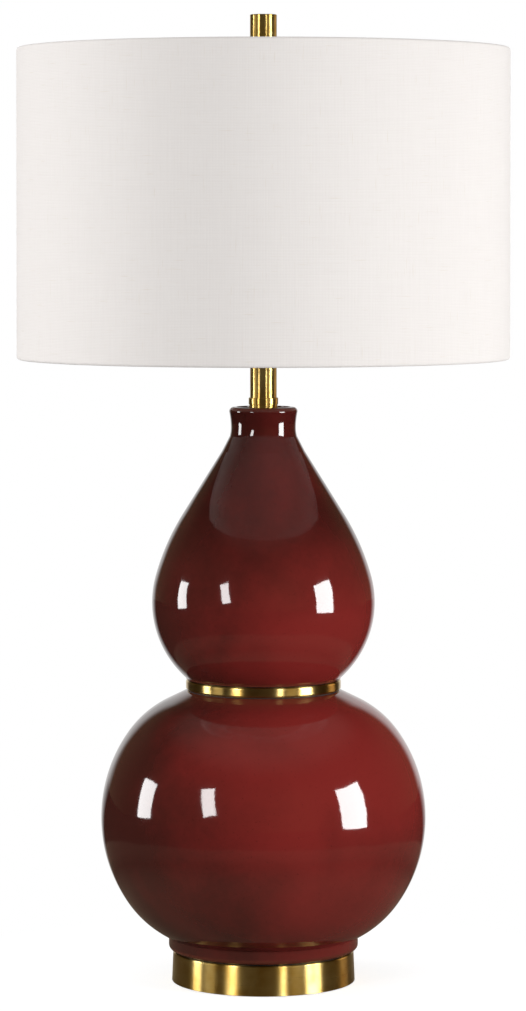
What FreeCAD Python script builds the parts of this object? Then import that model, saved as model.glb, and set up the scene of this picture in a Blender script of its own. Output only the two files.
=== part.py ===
import FreeCAD, Part
import os
from math import asin, atan2, cos, degrees, pi, radians, sin, sqrt, tan

os.makedirs("parts", exist_ok=True)

# A table lamp: two glazed ceramic gourds clamped on a threaded rod, a brass foot, waist ring
# and neck, a two-wire harp and a hardback drum shade. Millimetres, +Z up, front towards -Y.
# The origin is on the table, under the rod.

V = FreeCAD.Vector

# ---------------------------------------------------------------- driving dimensions

# clearances
running_gap = 0.05          # a turning or sliding piece in its hole, on the radius
slip_gap = 0.4              # a spigot or a washer dropped into its place, on the radius
rod_play = 0.25             # the rod in a plain hole, on the radius
face_gap = 0.1              # between two faces that turn or lift off each other

# threaded rod and its fixings
rod_r = 4.86
rod_bore_r = 3.2
rod_below_nut = 1.6         # rod showing under the bottom nut
rod_into_cap = 6.5          # rod reaching into the socket cap
nut_across_flats = 14.3
bottom_nut_height = 4.6
lock_washer_r = 7.6
lock_washer_height = 1.2
clamp_washer_r = 16.0
clamp_washer_height = 1.6

# brass foot
foot_bottom_r = 80.3
foot_top_r = 79.2
foot_top_z = 26.5
foot_sheet = 1.5
foot_edge_round = 1.4
pad_thickness = 2.2
pad_proud = 0.5             # how far the pad stands below the brass rim
pad_side_gap = 0.8
weight_side_gap = 1.4
weight_height = 11.5
weight_chamfer = 1.5
inlet_z = 7.9
inlet_bore_r = 3.1
inlet_neck_r = 4.2
inlet_flange_r = 5.1
inlet_flange_height = 1.6
inlet_length = 7.0

# seal under the ceramic
foot_seal_height = 1.1
foot_seal_inset = 2.6       # behind the brass edge
foot_seal_width = 7.0

# lower gourd: three tangent arcs, then a straight shoulder up to the ring
lower_foot_r = 83.1
lower_foot_round = 3.0
lower_foot_width = 12.0
lower_foot_recess = 5.0
lower_floor = 7.0
lower_wall = 6.5
lower_belly_r = 142.45
lower_belly_height = 116.2  # widest place above the gourd's own foot
lower_belly_arc = 128.3
lower_under_arc = 92.7
lower_under_angle = 35.8
lower_shoulder_arc = 88.8
lower_shoulder_angle = 35.2
lower_shoulder_end = 64.0   # where the shoulder arc turns into the straight shoulder
lower_lip_r = 67.2
lower_lip_round = 1.0
lower_mouth_r = 57.5
rod_hole_r = 8.0

# waist ring
waist_r = 68.0
waist_height = 8.8
waist_top_round = 1.7
waist_bottom_bevel = 1.7
waist_web = 2.4
waist_spigot_height = 6.0
waist_spigot_wall = 2.0
waist_seal_height = 0.6
waist_seal_width = 7.0

# upper gourd: three tangent arcs, a straight neck, a cove and a rolled lip
upper_mouth_r = 54.5
upper_foot_round = 1.5
upper_wall = 5.5
upper_belly_r = 97.75
upper_belly_height = 67.3
upper_belly_arc = 87.7
upper_under_arc = 89.15
upper_under_angle = 24.8
upper_shoulder_arc = 206.4
upper_shoulder_angle = 15.6
upper_neck_angle = 32.0     # slope of the straight neck, from upright
collar_r = 28.5
collar_cove = 28.0
collar_height = 18.3        # from the narrowest place up to the lip
collar_flare = 67.0
collar_lip_round = 4.0
collar_wall = 6.5
collar_seat_depth = 3.2
collar_top = 8.0
collar_hole_r = 12.6

# neck
cap_height = 1.6
cap_spigot_height = 6.0
seat_ring_r = 13.0
seat_ring_height = 9.7
seat_ring_step_r = 12.4
seat_ring_step_height = 3.9
seat_ring_pocket = 3.0
neck_r = 11.7
neck_wall = 1.0
neck_length = 75.3
neck_plug_height = 2.0
neck_plug_flange_r = 12.1
neck_plug_spigot = 4.0

# harp and its saddle
saddle_sheet = 1.8
saddle_width = 13.0
saddle_bend = 3.0
saddle_arm_height = 14.0
saddle_post_height = 7.0
saddle_pin_r = 1.2
saddle_pin_height = 6.0
harp_wire_r = 2.0
harp_foot_half = 24.0
harp_half_width = 50.0
harp_leg_height = 21.0      # straight upright part at the foot of each leg
harp_leg_bend = 30.0
harp_leg_angle = 30.0
harp_belly_z = 720.6        # where the sides begin to close in
harp_side_arc = 110.0
harp_side_angle = 40.0
crown_r = 6.4
crown_height = 6.0
sleeve_wall = 1.3
sleeve_length = 10.0
stud_r = 3.2
stud_thread_r = 3.1
stud_flange_r = 8.4
stud_flange_height = 2.0
stud_head_r = 4.8
stud_head_height = 1.8
stud_thread_length = 8.5    # above the spider's hub
harp_nut_height = 3.0

# lamp holder
cap_hub_r = 7.6
cap_hub_height = 5.0
holder_cap_r = 17.3
holder_skirt = 7.5          # straight rim of the cap, over the shell
holder_cap_wall = 0.8
holder_shell_wall = 0.6
holder_shell_height = 40.0
holder_bead = 0.9
sleeve_card_wall = 0.7
holder_body_above = 6.5     # above the switch's axis
screw_shell_r = 14.2
screw_shell_wall = 0.5
screw_shell_height = 20.0
contact_r = 3.6
contact_height = 0.8
terminal_pocket_depth = 4.4
terminal_pocket_width = 8.0
terminal_head_r = 2.7
terminal_head_height = 1.8
terminal_shank_r = 1.6
terminal_shank_length = 4.0
set_screw_r = 1.5
set_screw_head_r = 2.4
set_screw_head_height = 1.6
switch_shaft_r = 1.6
switch_shaft_depth = 9.0    # inside the holder body
switch_hole_r = 3.0
switch_stand_off = 9.0      # knob's near face from the holder
switch_knob_r = 5.4
switch_knob_length = 11.0
switch_grip_width = 3.4
switch_above_rim = 4.2      # switch axis above the cap's rim

# bulb
bulb_r = 30.0
bulb_neck_r = 15.2
bulb_cap_r = 13.15
bulb_cap_height = 22.0
bulb_cap_wall = 0.5
bulb_foot_r = 9.0
bulb_button_r = 4.6
bulb_button_height = 1.6
bulb_insulator_height = 3.4
bulb_length = 106.0
bulb_glass = 1.0
bulb_shoulder_arc = 34.0

# shade
shade_r = 216.0
shade_height = 272.2
shade_rise = 8.88            # its top edge above the top of the spider's hub
cloth = 0.6
liner_sheet = 0.5
liner_edge_gap = 0.4
ring_wire_r = 1.8
ring_wire_gap = 0.1
hem_turn_in = 11.0
hem_inner_gap = 0.15
hem_slit_gap = 0.3          # round an arm where it leaves the hem
spider_arms = 3
spider_first_angle = 90.0
spider_wire_r = 1.7
spider_hub_r = 12.5
spider_hub_height = 1.6
spider_flat_r = 26.0        # where the arms bend upwards

# finial
finial_r = 11.75
finial_height = 38.2
finial_neck_r = 7.4
finial_neck_height = 5.0
finial_edge = 0.7
insert_r = 5.0
finial_bore_spare = 3.0

# ---------------------------------------------------------------- drawing helpers


def polar(centre, radius, angle):
    """A point on a circle in the r-z plane, at an angle in degrees up from the outward side."""
    return (centre[0] + radius * cos(radians(angle)), centre[1] + radius * sin(radians(angle)))


def arc(centre, radius, first, last):
    """The middle and end points of a round stretch, as one step of an outline."""
    return polar(centre, radius, (first + last) / 2) + polar(centre, radius, last)


def chords(centre, radius, first, last, count):
    """Points that split a round stretch into a few straight ones, for walls that never show."""
    return [polar(centre, radius, first + (last - first) * i / count) for i in range(count + 1)]


def corner(before, point, after, radius):
    """Two steps that round off the corner at a point: a line to the arc, then the arc."""
    ux, uz = before[0] - point[0], before[1] - point[1]
    wx, wz = after[0] - point[0], after[1] - point[1]
    u, w = sqrt(ux * ux + uz * uz), sqrt(wx * wx + wz * wz)
    ux, uz, wx, wz = ux / u, uz / u, wx / w, wz / w
    half = (pi - abs(atan2(ux * wz - uz * wx, ux * wx + uz * wz))) / 2
    back = radius * tan(half)
    start = (point[0] + ux * back, point[1] + uz * back)
    end = (point[0] + wx * back, point[1] + wz * back)
    sx, sz = ux + wx, uz + wz
    s = sqrt(sx * sx + sz * sz)
    reach = radius / cos(half) - radius
    return start, (point[0] + sx / s * reach, point[1] + sz / s * reach) + end


def edges(steps, at=lambda r, z: V(r, 0, z), close=True):
    """Edges along an outline. A step is (r, z) for a straight line, or the four numbers of a
    middle and an end point for a round one."""
    made = []
    here = steps[0]
    for step in steps[1:]:
        end = step[-2:]
        if len(step) == 4:
            made.append(Part.Arc(at(*here), at(*step[:2]), at(*end)).toShape())
        elif at(*here).distanceToPoint(at(*end)) > 1e-6:
            made.append(Part.makeLine(at(*here), at(*end)))
        here = end
    if close and at(*here).distanceToPoint(at(*steps[0])) > 1e-6:
        made.append(Part.makeLine(at(*here), at(*steps[0])))
    return made


def turned(steps):
    """A solid of revolution about the rod's axis."""
    face = Part.Face(Part.Wire(edges(steps)))
    return face.revolve(V(0, 0, 0), V(0, 0, 1), 360)


def disc(r, z, height):
    return Part.makeCylinder(r, height, V(0, 0, z))


def washer(outer, inner, z, height):
    return disc(outer, z, height).cut(disc(inner, z - 1, height + 2))


def hexagon(across_flats, z, height):
    """A hexagonal prism about the rod's axis."""
    reach = across_flats / 2 / cos(pi / 6)
    points = [V(reach * cos(i * pi / 3), reach * sin(i * pi / 3), z) for i in range(6)]
    return Part.Face(Part.makePolygon(points + points[:1])).extrude(V(0, 0, height))


def hex_nut(z, height):
    """A nut on the rod, its corners chamfered by a cone from above and below."""
    blank = hexagon(nut_across_flats, z, height).cut(disc(rod_r, z - 1, height + 2))
    flat = nut_across_flats / 2
    tip = nut_across_flats / 2 / cos(pi / 6)
    drop = (tip - flat) * tan(radians(30))
    barrel = [
        (0, z), (flat, z), (tip, z + drop), (tip, z + height - drop),
        (flat, z + height), (0, z + height),
    ]
    return blank.common(turned(barrel))


def wire_tube(path, radius):
    """A round wire along a path of tangent lines and arcs."""
    wire = Part.Wire(path)
    start = wire.Edges[0]
    first = start.valueAt(start.FirstParameter)
    along = start.tangentAt(start.FirstParameter)
    section = Part.Wire(Part.makeCircle(radius, first, along))
    return wire.makePipeShell([section], True, False)


def export(shape, node):
    shape.exportStep("parts/" + node + ".step")


# ---------------------------------------------------------------- stack up the rod

rod_hole = rod_r + rod_play
lower_z = foot_top_z + foot_seal_height
lower_belly_z = lower_z + lower_belly_height


def tangent_centres(belly_r, belly_z, belly_arc, under_arc, under_angle, top_arc, top_angle):
    """Centres of a gourd's belly arc, and of the arcs that leave it below and above."""
    belly = (belly_r - belly_arc, belly_z)
    under = polar(belly, belly_arc - under_arc, -under_angle)
    top = polar(belly, belly_arc - top_arc, top_angle)
    return belly, under, top


lower_belly, lower_under, lower_shoulder = tangent_centres(
    lower_belly_r, lower_belly_z, lower_belly_arc,
    lower_under_arc, lower_under_angle, lower_shoulder_arc, lower_shoulder_angle)

# the straight shoulder runs on from the end of the shoulder arc to the lip
shoulder_end = polar(lower_shoulder, lower_shoulder_arc, lower_shoulder_end)
shoulder_rise = 1 / tan(radians(lower_shoulder_end))
lower_lip_z = shoulder_end[1] + (shoulder_end[0] - lower_lip_r) * shoulder_rise

waist_z = lower_lip_z + waist_seal_height
waist_top_z = waist_z + waist_height
upper_z = waist_top_z + waist_seal_height
upper_belly_z = upper_z + upper_belly_height

upper_belly, upper_under, upper_shoulder = tangent_centres(
    upper_belly_r, upper_belly_z, upper_belly_arc,
    upper_under_arc, upper_under_angle, upper_shoulder_arc, upper_shoulder_angle)

# the cove touches the straight neck, and is upright where the collar is narrowest
neck_start = polar(upper_shoulder, upper_shoulder_arc, upper_neck_angle)
lean_cos = cos(radians(upper_neck_angle))
lean_sin = sin(radians(upper_neck_angle))
neck_line = lean_cos * neck_start[0] + lean_sin * neck_start[1]
collar_z = (neck_line + collar_cove * (1 - lean_cos) - lean_cos * collar_r) / lean_sin
cove = (collar_r + collar_cove, collar_z)
collar_top_z = collar_z + collar_height
collar_seat_z = collar_top_z - collar_seat_depth
flare_top_z = collar_top_z - collar_lip_round
flare_top_angle = degrees(asin((flare_top_z - collar_z) / collar_flare))
flare = (collar_r + collar_flare, collar_z)
lip_r = polar(flare, collar_flare, 180 - flare_top_angle)[0]
collar_seat_r = lip_r - collar_lip_round - 2.6

cap_top_z = collar_seat_z + cap_height
seat_ring_top_z = cap_top_z + seat_ring_height
neck_z = seat_ring_top_z - seat_ring_pocket
neck_top_z = neck_z + neck_length
saddle_z = neck_top_z + neck_plug_height
harp_nut_z = saddle_z + saddle_sheet
holder_z = harp_nut_z + harp_nut_height

weight_top_z = foot_top_z - foot_sheet
weight_z = weight_top_z - weight_height
clamp_washer_z = weight_z - clamp_washer_height
lock_washer_z = clamp_washer_z - lock_washer_height
bottom_nut_z = lock_washer_z - bottom_nut_height
rod_z = bottom_nut_z - rod_below_nut
rod_top_z = holder_z + rod_into_cap

# ---------------------------------------------------------------- foot


def foot_radius(z):
    """Outer radius of the slightly tapered foot at a height."""
    share = (z - pad_proud) / (foot_top_z - pad_proud)
    return foot_bottom_r + (foot_top_r - foot_bottom_r) * share


def foot_inner_radius(z):
    """Radius inside the foot's tapered wall at a height."""
    share = (z - pad_proud) / (foot_top_z - foot_sheet - pad_proud)
    return foot_bottom_r + (foot_top_r - foot_bottom_r) * share - foot_sheet


def foot_shell():
    """Spun cup, open below, with a flat top pierced for the rod and one hole for the cord."""
    bottom = (foot_bottom_r, pad_proud)
    top = (foot_radius(foot_top_z), foot_top_z)
    inner_top = (foot_radius(foot_top_z) - foot_sheet, foot_top_z - foot_sheet)
    cup = turned([
        (rod_hole, foot_top_z),
        *corner((0, foot_top_z), top, bottom, foot_edge_round),
        bottom,
        (foot_bottom_r - foot_sheet, pad_proud),
        inner_top,
        (rod_hole, foot_top_z - foot_sheet),
    ])
    hole = Part.makeCylinder(inlet_neck_r, foot_bottom_r, V(0, foot_bottom_r / 2, inlet_z), V(0, 1, 0))
    return cup.cut(hole)


def base_pad():
    """Felt disc let into the foot, standing a little proud of the brass."""
    return disc(foot_bottom_r - foot_sheet - pad_side_gap, 0, pad_thickness)


def foot_weight():
    """Cast ring in the top of the foot, tapered as it is, with a channel underneath for the cord."""
    chamfer_z = weight_z + weight_chamfer
    r = foot_inner_radius(chamfer_z) - weight_side_gap
    top_r = foot_inner_radius(weight_top_z) - weight_side_gap
    ring = turned([
        (rod_hole, weight_z), (r - weight_chamfer, weight_z), (r, chamfer_z),
        (top_r, weight_top_z), (rod_hole, weight_top_z),
    ])
    channel = Part.makeBox(4 * inlet_bore_r, r, inlet_bore_r,
                           V(-2 * inlet_bore_r, clamp_washer_r + 2, weight_z))
    return ring.cut(channel)


def cord_bushing():
    """Flanged bush in the back of the foot, its flange outside the brass."""
    flange_y = max(foot_radius(inlet_z - inlet_flange_r), foot_radius(inlet_z + inlet_flange_r))
    neck = Part.makeCylinder(inlet_neck_r, inlet_length,
                             V(0, flange_y - inlet_length, inlet_z), V(0, 1, 0))
    flange = Part.makeCylinder(inlet_flange_r, inlet_flange_height, V(0, flange_y, inlet_z), V(0, 1, 0))
    bore = Part.makeCylinder(inlet_bore_r, inlet_length + 2 * inlet_flange_height + 2,
                             V(0, flange_y - inlet_length - 1, inlet_z), V(0, 1, 0))
    return neck.fuse(flange).removeSplitter().cut(bore)


# ---------------------------------------------------------------- ceramic and waist


def seal(outer, width, z, height):
    return washer(outer, outer - width, z, height)


def lower_gourd():
    """Hollow glazed body on a foot ring, its inside one wall behind the outside."""
    foot_angle = -degrees(asin(sqrt(1 - ((lower_foot_r - lower_under[0]) / lower_under_arc) ** 2)))
    lip = (lower_lip_r, lower_lip_z)
    inner_floor_z = lower_z + lower_foot_recess + lower_floor
    inner_under = lower_under_arc - lower_wall
    floor_angle = degrees(asin((inner_floor_z - lower_under[1]) / inner_under))
    inner_belly = lower_belly_arc - lower_wall
    inner_shoulder = lower_shoulder_arc - lower_wall
    inner_end = polar(lower_shoulder, inner_shoulder, lower_shoulder_end)
    inner_lip_z = inner_end[1] + (inner_end[0] - lower_mouth_r) * shoulder_rise
    return turned([
        (lower_foot_r - lower_foot_round, lower_z),
        arc((lower_foot_r - lower_foot_round, lower_z + lower_foot_round), lower_foot_round, -90, 0),
        polar(lower_under, lower_under_arc, foot_angle),
        arc(lower_under, lower_under_arc, foot_angle, -lower_under_angle),
        arc(lower_belly, lower_belly_arc, -lower_under_angle, lower_shoulder_angle),
        arc(lower_shoulder, lower_shoulder_arc, lower_shoulder_angle, lower_shoulder_end),
        *corner(shoulder_end, lip, (0, lower_lip_z), lower_lip_round),
        (lower_mouth_r, lower_lip_z),
        (lower_mouth_r, inner_lip_z),
        *chords(lower_shoulder, inner_shoulder, lower_shoulder_end, lower_shoulder_angle, 2),
        *chords(lower_belly, inner_belly, lower_shoulder_angle, -lower_under_angle, 4),
        *chords(lower_under, inner_under, -lower_under_angle, floor_angle, 2),
        (rod_hole_r, inner_floor_z),
        (rod_hole_r, lower_z + lower_foot_recess),
        (lower_foot_r - lower_foot_width, lower_z + lower_foot_recess),
        (lower_foot_r - lower_foot_width, lower_z),
    ])


def waist_ring():
    """Brass spacer: a rim that shows, a web with the rod's hole, and a spigot each way."""
    web_z = waist_z + (waist_height - waist_web) / 2
    down = lower_mouth_r - slip_gap
    up = upper_mouth_r - slip_gap
    return turned([
        (rod_hole, web_z),
        (down - waist_spigot_wall, web_z),
        (down - waist_spigot_wall, waist_z - waist_spigot_height),
        (down, waist_z - waist_spigot_height),
        (down, waist_z),
        (waist_r - waist_bottom_bevel, waist_z),
        (waist_r, waist_z + waist_bottom_bevel),
        (waist_r, waist_top_z - waist_top_round),
        arc((waist_r - waist_top_round, waist_top_z - waist_top_round), waist_top_round, 0, 90),
        (up, waist_top_z),
        (up, waist_top_z + waist_spigot_height),
        (up - waist_spigot_wall, waist_top_z + waist_spigot_height),
        (up - waist_spigot_wall, web_z + waist_web),
        (rod_hole, web_z + waist_web),
    ])


def upper_gourd():
    """Hollow glazed top: belly, long neck, cove and rolled lip, closed above for the neck cap."""
    foot_angle = degrees(asin((upper_z + upper_foot_round - upper_under[1]) / upper_under_arc))
    foot_edge = polar(upper_under, upper_under_arc, foot_angle)
    inner_under = upper_under_arc - upper_wall
    mouth_angle = degrees(asin((upper_z + upper_wall - upper_under[1]) / inner_under))
    inner_neck = collar_r - collar_wall
    inner_belly = upper_belly_arc - upper_wall
    inner_shoulder = upper_shoulder_arc - upper_wall
    inner_top = polar(upper_shoulder, inner_shoulder, upper_neck_angle)
    slope = tan(radians(upper_neck_angle))
    inner_neck_z = inner_top[1] + (inner_top[0] - inner_neck) / slope
    ceiling_z = collar_seat_z - collar_top
    crest_r = lip_r - collar_lip_round
    return turned([
        (foot_edge[0] - upper_foot_round, upper_z),
        arc((foot_edge[0] - upper_foot_round, upper_z + upper_foot_round), upper_foot_round, -90, 0),
        arc(upper_under, upper_under_arc, foot_angle, -upper_under_angle),
        arc(upper_belly, upper_belly_arc, -upper_under_angle, upper_shoulder_angle),
        arc(upper_shoulder, upper_shoulder_arc, upper_shoulder_angle, upper_neck_angle),
        polar(cove, collar_cove, 180 + upper_neck_angle),
        arc(cove, collar_cove, 180 + upper_neck_angle, 180),
        arc(flare, collar_flare, 180, 180 - flare_top_angle),
        arc((crest_r, flare_top_z), collar_lip_round, 0, 90),
        (collar_seat_r, collar_top_z),
        (collar_seat_r, collar_seat_z),
        (collar_hole_r, collar_seat_z),
        (collar_hole_r, ceiling_z),
        (inner_neck, ceiling_z),
        (inner_neck, inner_neck_z),
        *chords(upper_shoulder, inner_shoulder, upper_neck_angle, upper_shoulder_angle, 2),
        *chords(upper_belly, inner_belly, upper_shoulder_angle, -upper_under_angle, 3),
        *chords(upper_under, inner_under, -upper_under_angle, mouth_angle, 2),
        (upper_mouth_r, upper_z + upper_wall),
        (upper_mouth_r, upper_z),
    ])


# ---------------------------------------------------------------- neck


def neck_cap():
    """Brass washer let into the collar, with a spigot that centres it in the ceramic."""
    spigot = collar_hole_r - slip_gap
    bottom_z = collar_seat_z - cap_spigot_height
    outer = collar_seat_r - slip_gap
    return turned([
        (rod_hole, bottom_z), (spigot, bottom_z), (spigot, collar_seat_z),
        (outer, collar_seat_z), (outer, cap_top_z), (rod_hole, cap_top_z),
    ])


def seat_ring():
    """Stepped brass ring that the neck tube stands in."""
    pocket = neck_r + running_gap
    step_z = cap_top_z + seat_ring_step_height
    top_z = seat_ring_top_z
    outer = (seat_ring_r, top_z)
    return turned([
        (rod_hole, cap_top_z), (seat_ring_step_r, cap_top_z), (seat_ring_step_r, step_z),
        (seat_ring_r, step_z),
        *corner((seat_ring_r, step_z), outer, (pocket, top_z), (seat_ring_r - pocket) / 2),
        (pocket, top_z), (pocket, neck_z), (rod_hole, neck_z),
    ])


def neck_plug():
    """Flanged disc that closes the top of the neck tube and carries the saddle."""
    spigot = neck_r - neck_wall - running_gap
    return turned([
        (rod_hole, neck_top_z - neck_plug_spigot), (spigot, neck_top_z - neck_plug_spigot),
        (spigot, neck_top_z), (neck_plug_flange_r, neck_top_z), (neck_plug_flange_r, saddle_z),
        (rod_hole, saddle_z),
    ])


# ---------------------------------------------------------------- harp

saddle_arm_z = saddle_z + saddle_arm_height
post_top_z = saddle_arm_z + saddle_post_height
harp_foot_z = post_top_z + face_gap


def harp_saddle():
    """Bent strip clamped under the holder: two arms, each with a round post and a pin."""
    half = harp_foot_half
    sheet = saddle_sheet
    outer = saddle_bend + sheet
    inner_r = half - sheet / 2
    outer_r = half + sheet / 2
    bend = (inner_r - saddle_bend, saddle_z + outer)
    section = [
        (0, saddle_z), (bend[0], saddle_z), arc(bend, outer, -90, 0), (outer_r, saddle_arm_z),
        (inner_r, saddle_arm_z), (inner_r, bend[1]), arc(bend, saddle_bend, 0, -90),
        (0, saddle_z + sheet),
    ]
    side = Part.Face(Part.Wire(edges(section, lambda x, z: V(x, -saddle_width / 2, z))))
    right = side.extrude(V(0, saddle_width, 0))
    foot_z = saddle_arm_z - saddle_arm_height / 3
    post = Part.makeCylinder(harp_wire_r, post_top_z - foot_z, V(half, 0, foot_z))
    pin = Part.makeCylinder(saddle_pin_r, saddle_pin_height, V(half, 0, post_top_z))
    right = right.fuse([post, pin])
    left = right.mirror(V(0, 0, 0), V(1, 0, 0))
    return right.fuse(left).cut(disc(rod_hole, saddle_z - 1, sheet + 2)).removeSplitter()


# the crown's height follows from two arcs that meet smoothly over the axis
harp_side = (harp_half_width - harp_side_arc, harp_belly_z)
harp_crown_arc = harp_side_arc + harp_side[0] / cos(radians(harp_side_angle))
harp_crown = (0, harp_belly_z + (harp_side_arc - harp_crown_arc) * sin(radians(harp_side_angle)))
harp_top_z = harp_crown[1] + harp_crown_arc
crown_z = harp_top_z - crown_height / 2
crown_top_z = crown_z + crown_height


def harp_steps():
    """Centre line of the right half of the harp, from its foot up to the crown."""
    lean = harp_leg_angle
    bend = harp_leg_bend
    first_z = harp_foot_z + harp_leg_height
    start = (harp_foot_half + bend, first_z)
    leaving = polar(start, bend, 180 - lean)
    spread = harp_half_width - harp_foot_half - 2 * bend * (1 - cos(radians(lean)))
    rise = spread / tan(radians(lean))
    joining = (leaving[0] + spread, leaving[1] + rise)
    upper = (harp_half_width - bend, joining[1] + bend * sin(radians(lean)))
    return [
        (harp_foot_half, harp_foot_z),
        (harp_foot_half, first_z),
        arc(start, bend, 180, 180 - lean),
        joining,
        arc(upper, bend, -lean, 0),
        (harp_half_width, harp_belly_z),
        arc(harp_side, harp_side_arc, 0, harp_side_angle),
        arc(harp_crown, harp_crown_arc, harp_side_angle, 90),
    ]


def harp():
    """Bent wire bow with a drilled foot on each leg and an eye at the crown."""
    path = edges(harp_steps(), close=False)
    right = wire_tube(path, harp_wire_r)
    left = right.mirror(V(0, 0, 0), V(1, 0, 0))
    crown = disc(crown_r, crown_z, crown_height)
    bow = right.fuse([left, crown])
    eye = disc(stud_r + running_gap, crown_z - 5, crown_height + 10)
    drill = saddle_pin_height + 0.5
    feet = [Part.makeCylinder(saddle_pin_r + running_gap, drill + 1, V(side * harp_foot_half, 0, harp_foot_z - 1))
            for side in (-1, 1)]
    return bow.cut([eye] + feet).removeSplitter()


def lock_sleeve(side):
    """Tube that slides down over the joint between a leg and its post."""
    z = harp_foot_z - sleeve_length / 2
    inner = harp_wire_r + running_gap
    tube = washer(inner + sleeve_wall, inner, z, sleeve_length)
    tube.translate(V(side * harp_foot_half, 0, 0))
    return tube


hub_z = crown_top_z + face_gap + stud_flange_height
hub_top_z = hub_z + spider_hub_height
finial_z = hub_top_z + face_gap
stud_top_z = hub_top_z + stud_thread_length


def swivel_stud():
    """Headed stud that turns in the harp's eye, with a flange that carries the shade."""
    head_z = crown_z - face_gap - stud_head_height
    flange_z = crown_top_z + face_gap
    return turned([
        (0, head_z), (stud_head_r, head_z), (stud_head_r, head_z + stud_head_height),
        (stud_r, head_z + stud_head_height), (stud_r, flange_z), (stud_flange_r, flange_z),
        (stud_flange_r, hub_z), (stud_thread_r, hub_z), (stud_thread_r, stud_top_z), (0, stud_top_z),
    ])


# ---------------------------------------------------------------- lamp holder

cap_dome = holder_cap_r - cap_hub_r
bell_z = holder_z + cap_hub_height + cap_dome
cap_rim_z = bell_z + holder_skirt
shell_r = holder_cap_r - holder_cap_wall - running_gap
shell_z = bell_z + face_gap
shell_top_z = shell_z + holder_shell_height
card_r = shell_r - holder_shell_wall - running_gap
body_r = card_r - sleeve_card_wall - running_gap
switch_z = cap_rim_z + switch_above_rim
body_top_z = switch_z + holder_body_above
set_screw_z = holder_z + cap_hub_height / 2


def socket_cap():
    """Bell-shaped cap: a threaded hub, a domed shoulder and a rim that grips the shell."""
    hub_top = holder_z + cap_hub_height
    wall = holder_cap_wall
    bell = turned([
        (rod_r, holder_z),
        (cap_hub_r, holder_z),
        (cap_hub_r, hub_top),
        arc((cap_hub_r, bell_z), cap_dome, -90, 0),
        (holder_cap_r, cap_rim_z),
        (holder_cap_r - wall, cap_rim_z),
        (holder_cap_r - wall, bell_z),
        *chords((cap_hub_r, bell_z), cap_dome - wall, 0, -90, 3),
        (rod_r, hub_top + wall),
    ])
    return bell.cut(Part.makeCylinder(set_screw_r, cap_hub_r + 1, V(0, 0, set_screw_z), V(0, 1, 0)))


def switch_hole(radius):
    return Part.makeCylinder(radius, holder_cap_r + 2, V(0, 0, switch_z), V(0, -1, 0))


def socket_shell():
    """Thin brass tube with a rolled bead at its mouth and a hole for the switch."""
    inner = shell_r - holder_shell_wall
    bead_z = shell_top_z - 2 * holder_bead
    shell = turned([
        (inner, shell_z), (shell_r, shell_z), (shell_r, bead_z),
        arc((shell_r, bead_z + holder_bead), holder_bead, -90, 90),
        (inner, shell_top_z),
    ])
    return shell.cut(switch_hole(switch_hole_r))


def socket_card():
    """Insulating sleeve between the brass shell and the screw shell."""
    card = washer(card_r, card_r - sleeve_card_wall, shell_z, holder_shell_height - 2 * holder_bead)
    return card.cut(switch_hole(switch_hole_r))


def socket_body():
    """Moulded block that holds the switch, with a pocket on each side for a terminal."""
    body = disc(body_r, shell_z, body_top_z - shell_z)
    deep = body_r - terminal_pocket_depth
    half = terminal_pocket_width / 2
    for side in (-1, 1):
        x = deep if side > 0 else -body_r - 1
        pocket = Part.makeBox(terminal_pocket_depth + 1, 2 * half, 2 * half, V(x, -half, switch_z - half))
        thread = Part.makeCylinder(terminal_shank_r, terminal_shank_length,
                                   V(side * deep, 0, switch_z), V(-side, 0, 0))
        body = body.cut([pocket, thread])
    shaft = Part.makeCylinder(switch_shaft_r + running_gap, body_r + 1,
                              V(0, -body_r + switch_shaft_depth, switch_z), V(0, -1, 0))
    return body.cut(shaft)


def screw_shell():
    """Shell that takes the bulb's screw cap, with a floor round the centre contact."""
    wall = screw_shell_wall
    return turned([
        (contact_r + 1, body_top_z), (screw_shell_r, body_top_z),
        (screw_shell_r, body_top_z + screw_shell_height),
        (screw_shell_r - wall, body_top_z + screw_shell_height),
        (screw_shell_r - wall, body_top_z + wall), (contact_r + 1, body_top_z + wall),
    ])


def terminal_screws():
    """One headed screw in each pocket of the holder body."""
    screws = []
    face = body_r - terminal_pocket_depth
    for side in (-1, 1):
        out = V(side, 0, 0)
        head = Part.makeCylinder(terminal_head_r, terminal_head_height, V(side * face, 0, switch_z), out)
        shank = Part.makeCylinder(terminal_shank_r, terminal_shank_length,
                                  V(side * face, 0, switch_z), V(-side, 0, 0))
        screws.append(head.fuse(shank).removeSplitter())
    return Part.makeCompound(screws)


def set_screw():
    """Screw through the cap's hub, tight against the rod."""
    z = set_screw_z
    back = V(0, 1, 0)
    shank = Part.makeCylinder(set_screw_r, cap_hub_r - rod_r, V(0, rod_r, z), back)
    head = Part.makeCylinder(set_screw_head_r, set_screw_head_height, V(0, cap_hub_r, z), back)
    screw = head.fuse(shank).removeSplitter()
    return screw.cut(disc(rod_r, z - set_screw_head_r - 1, 2 * set_screw_head_r + 2))


knob_near = holder_cap_r + switch_stand_off


def switch_shaft():
    """Spindle of the turn switch, from inside the holder out to the knob."""
    inner = body_r - switch_shaft_depth + face_gap
    length = knob_near + switch_knob_length / 2 - inner
    return Part.makeCylinder(switch_shaft_r, length, V(0, -inner, switch_z), V(0, -1, 0))


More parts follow.
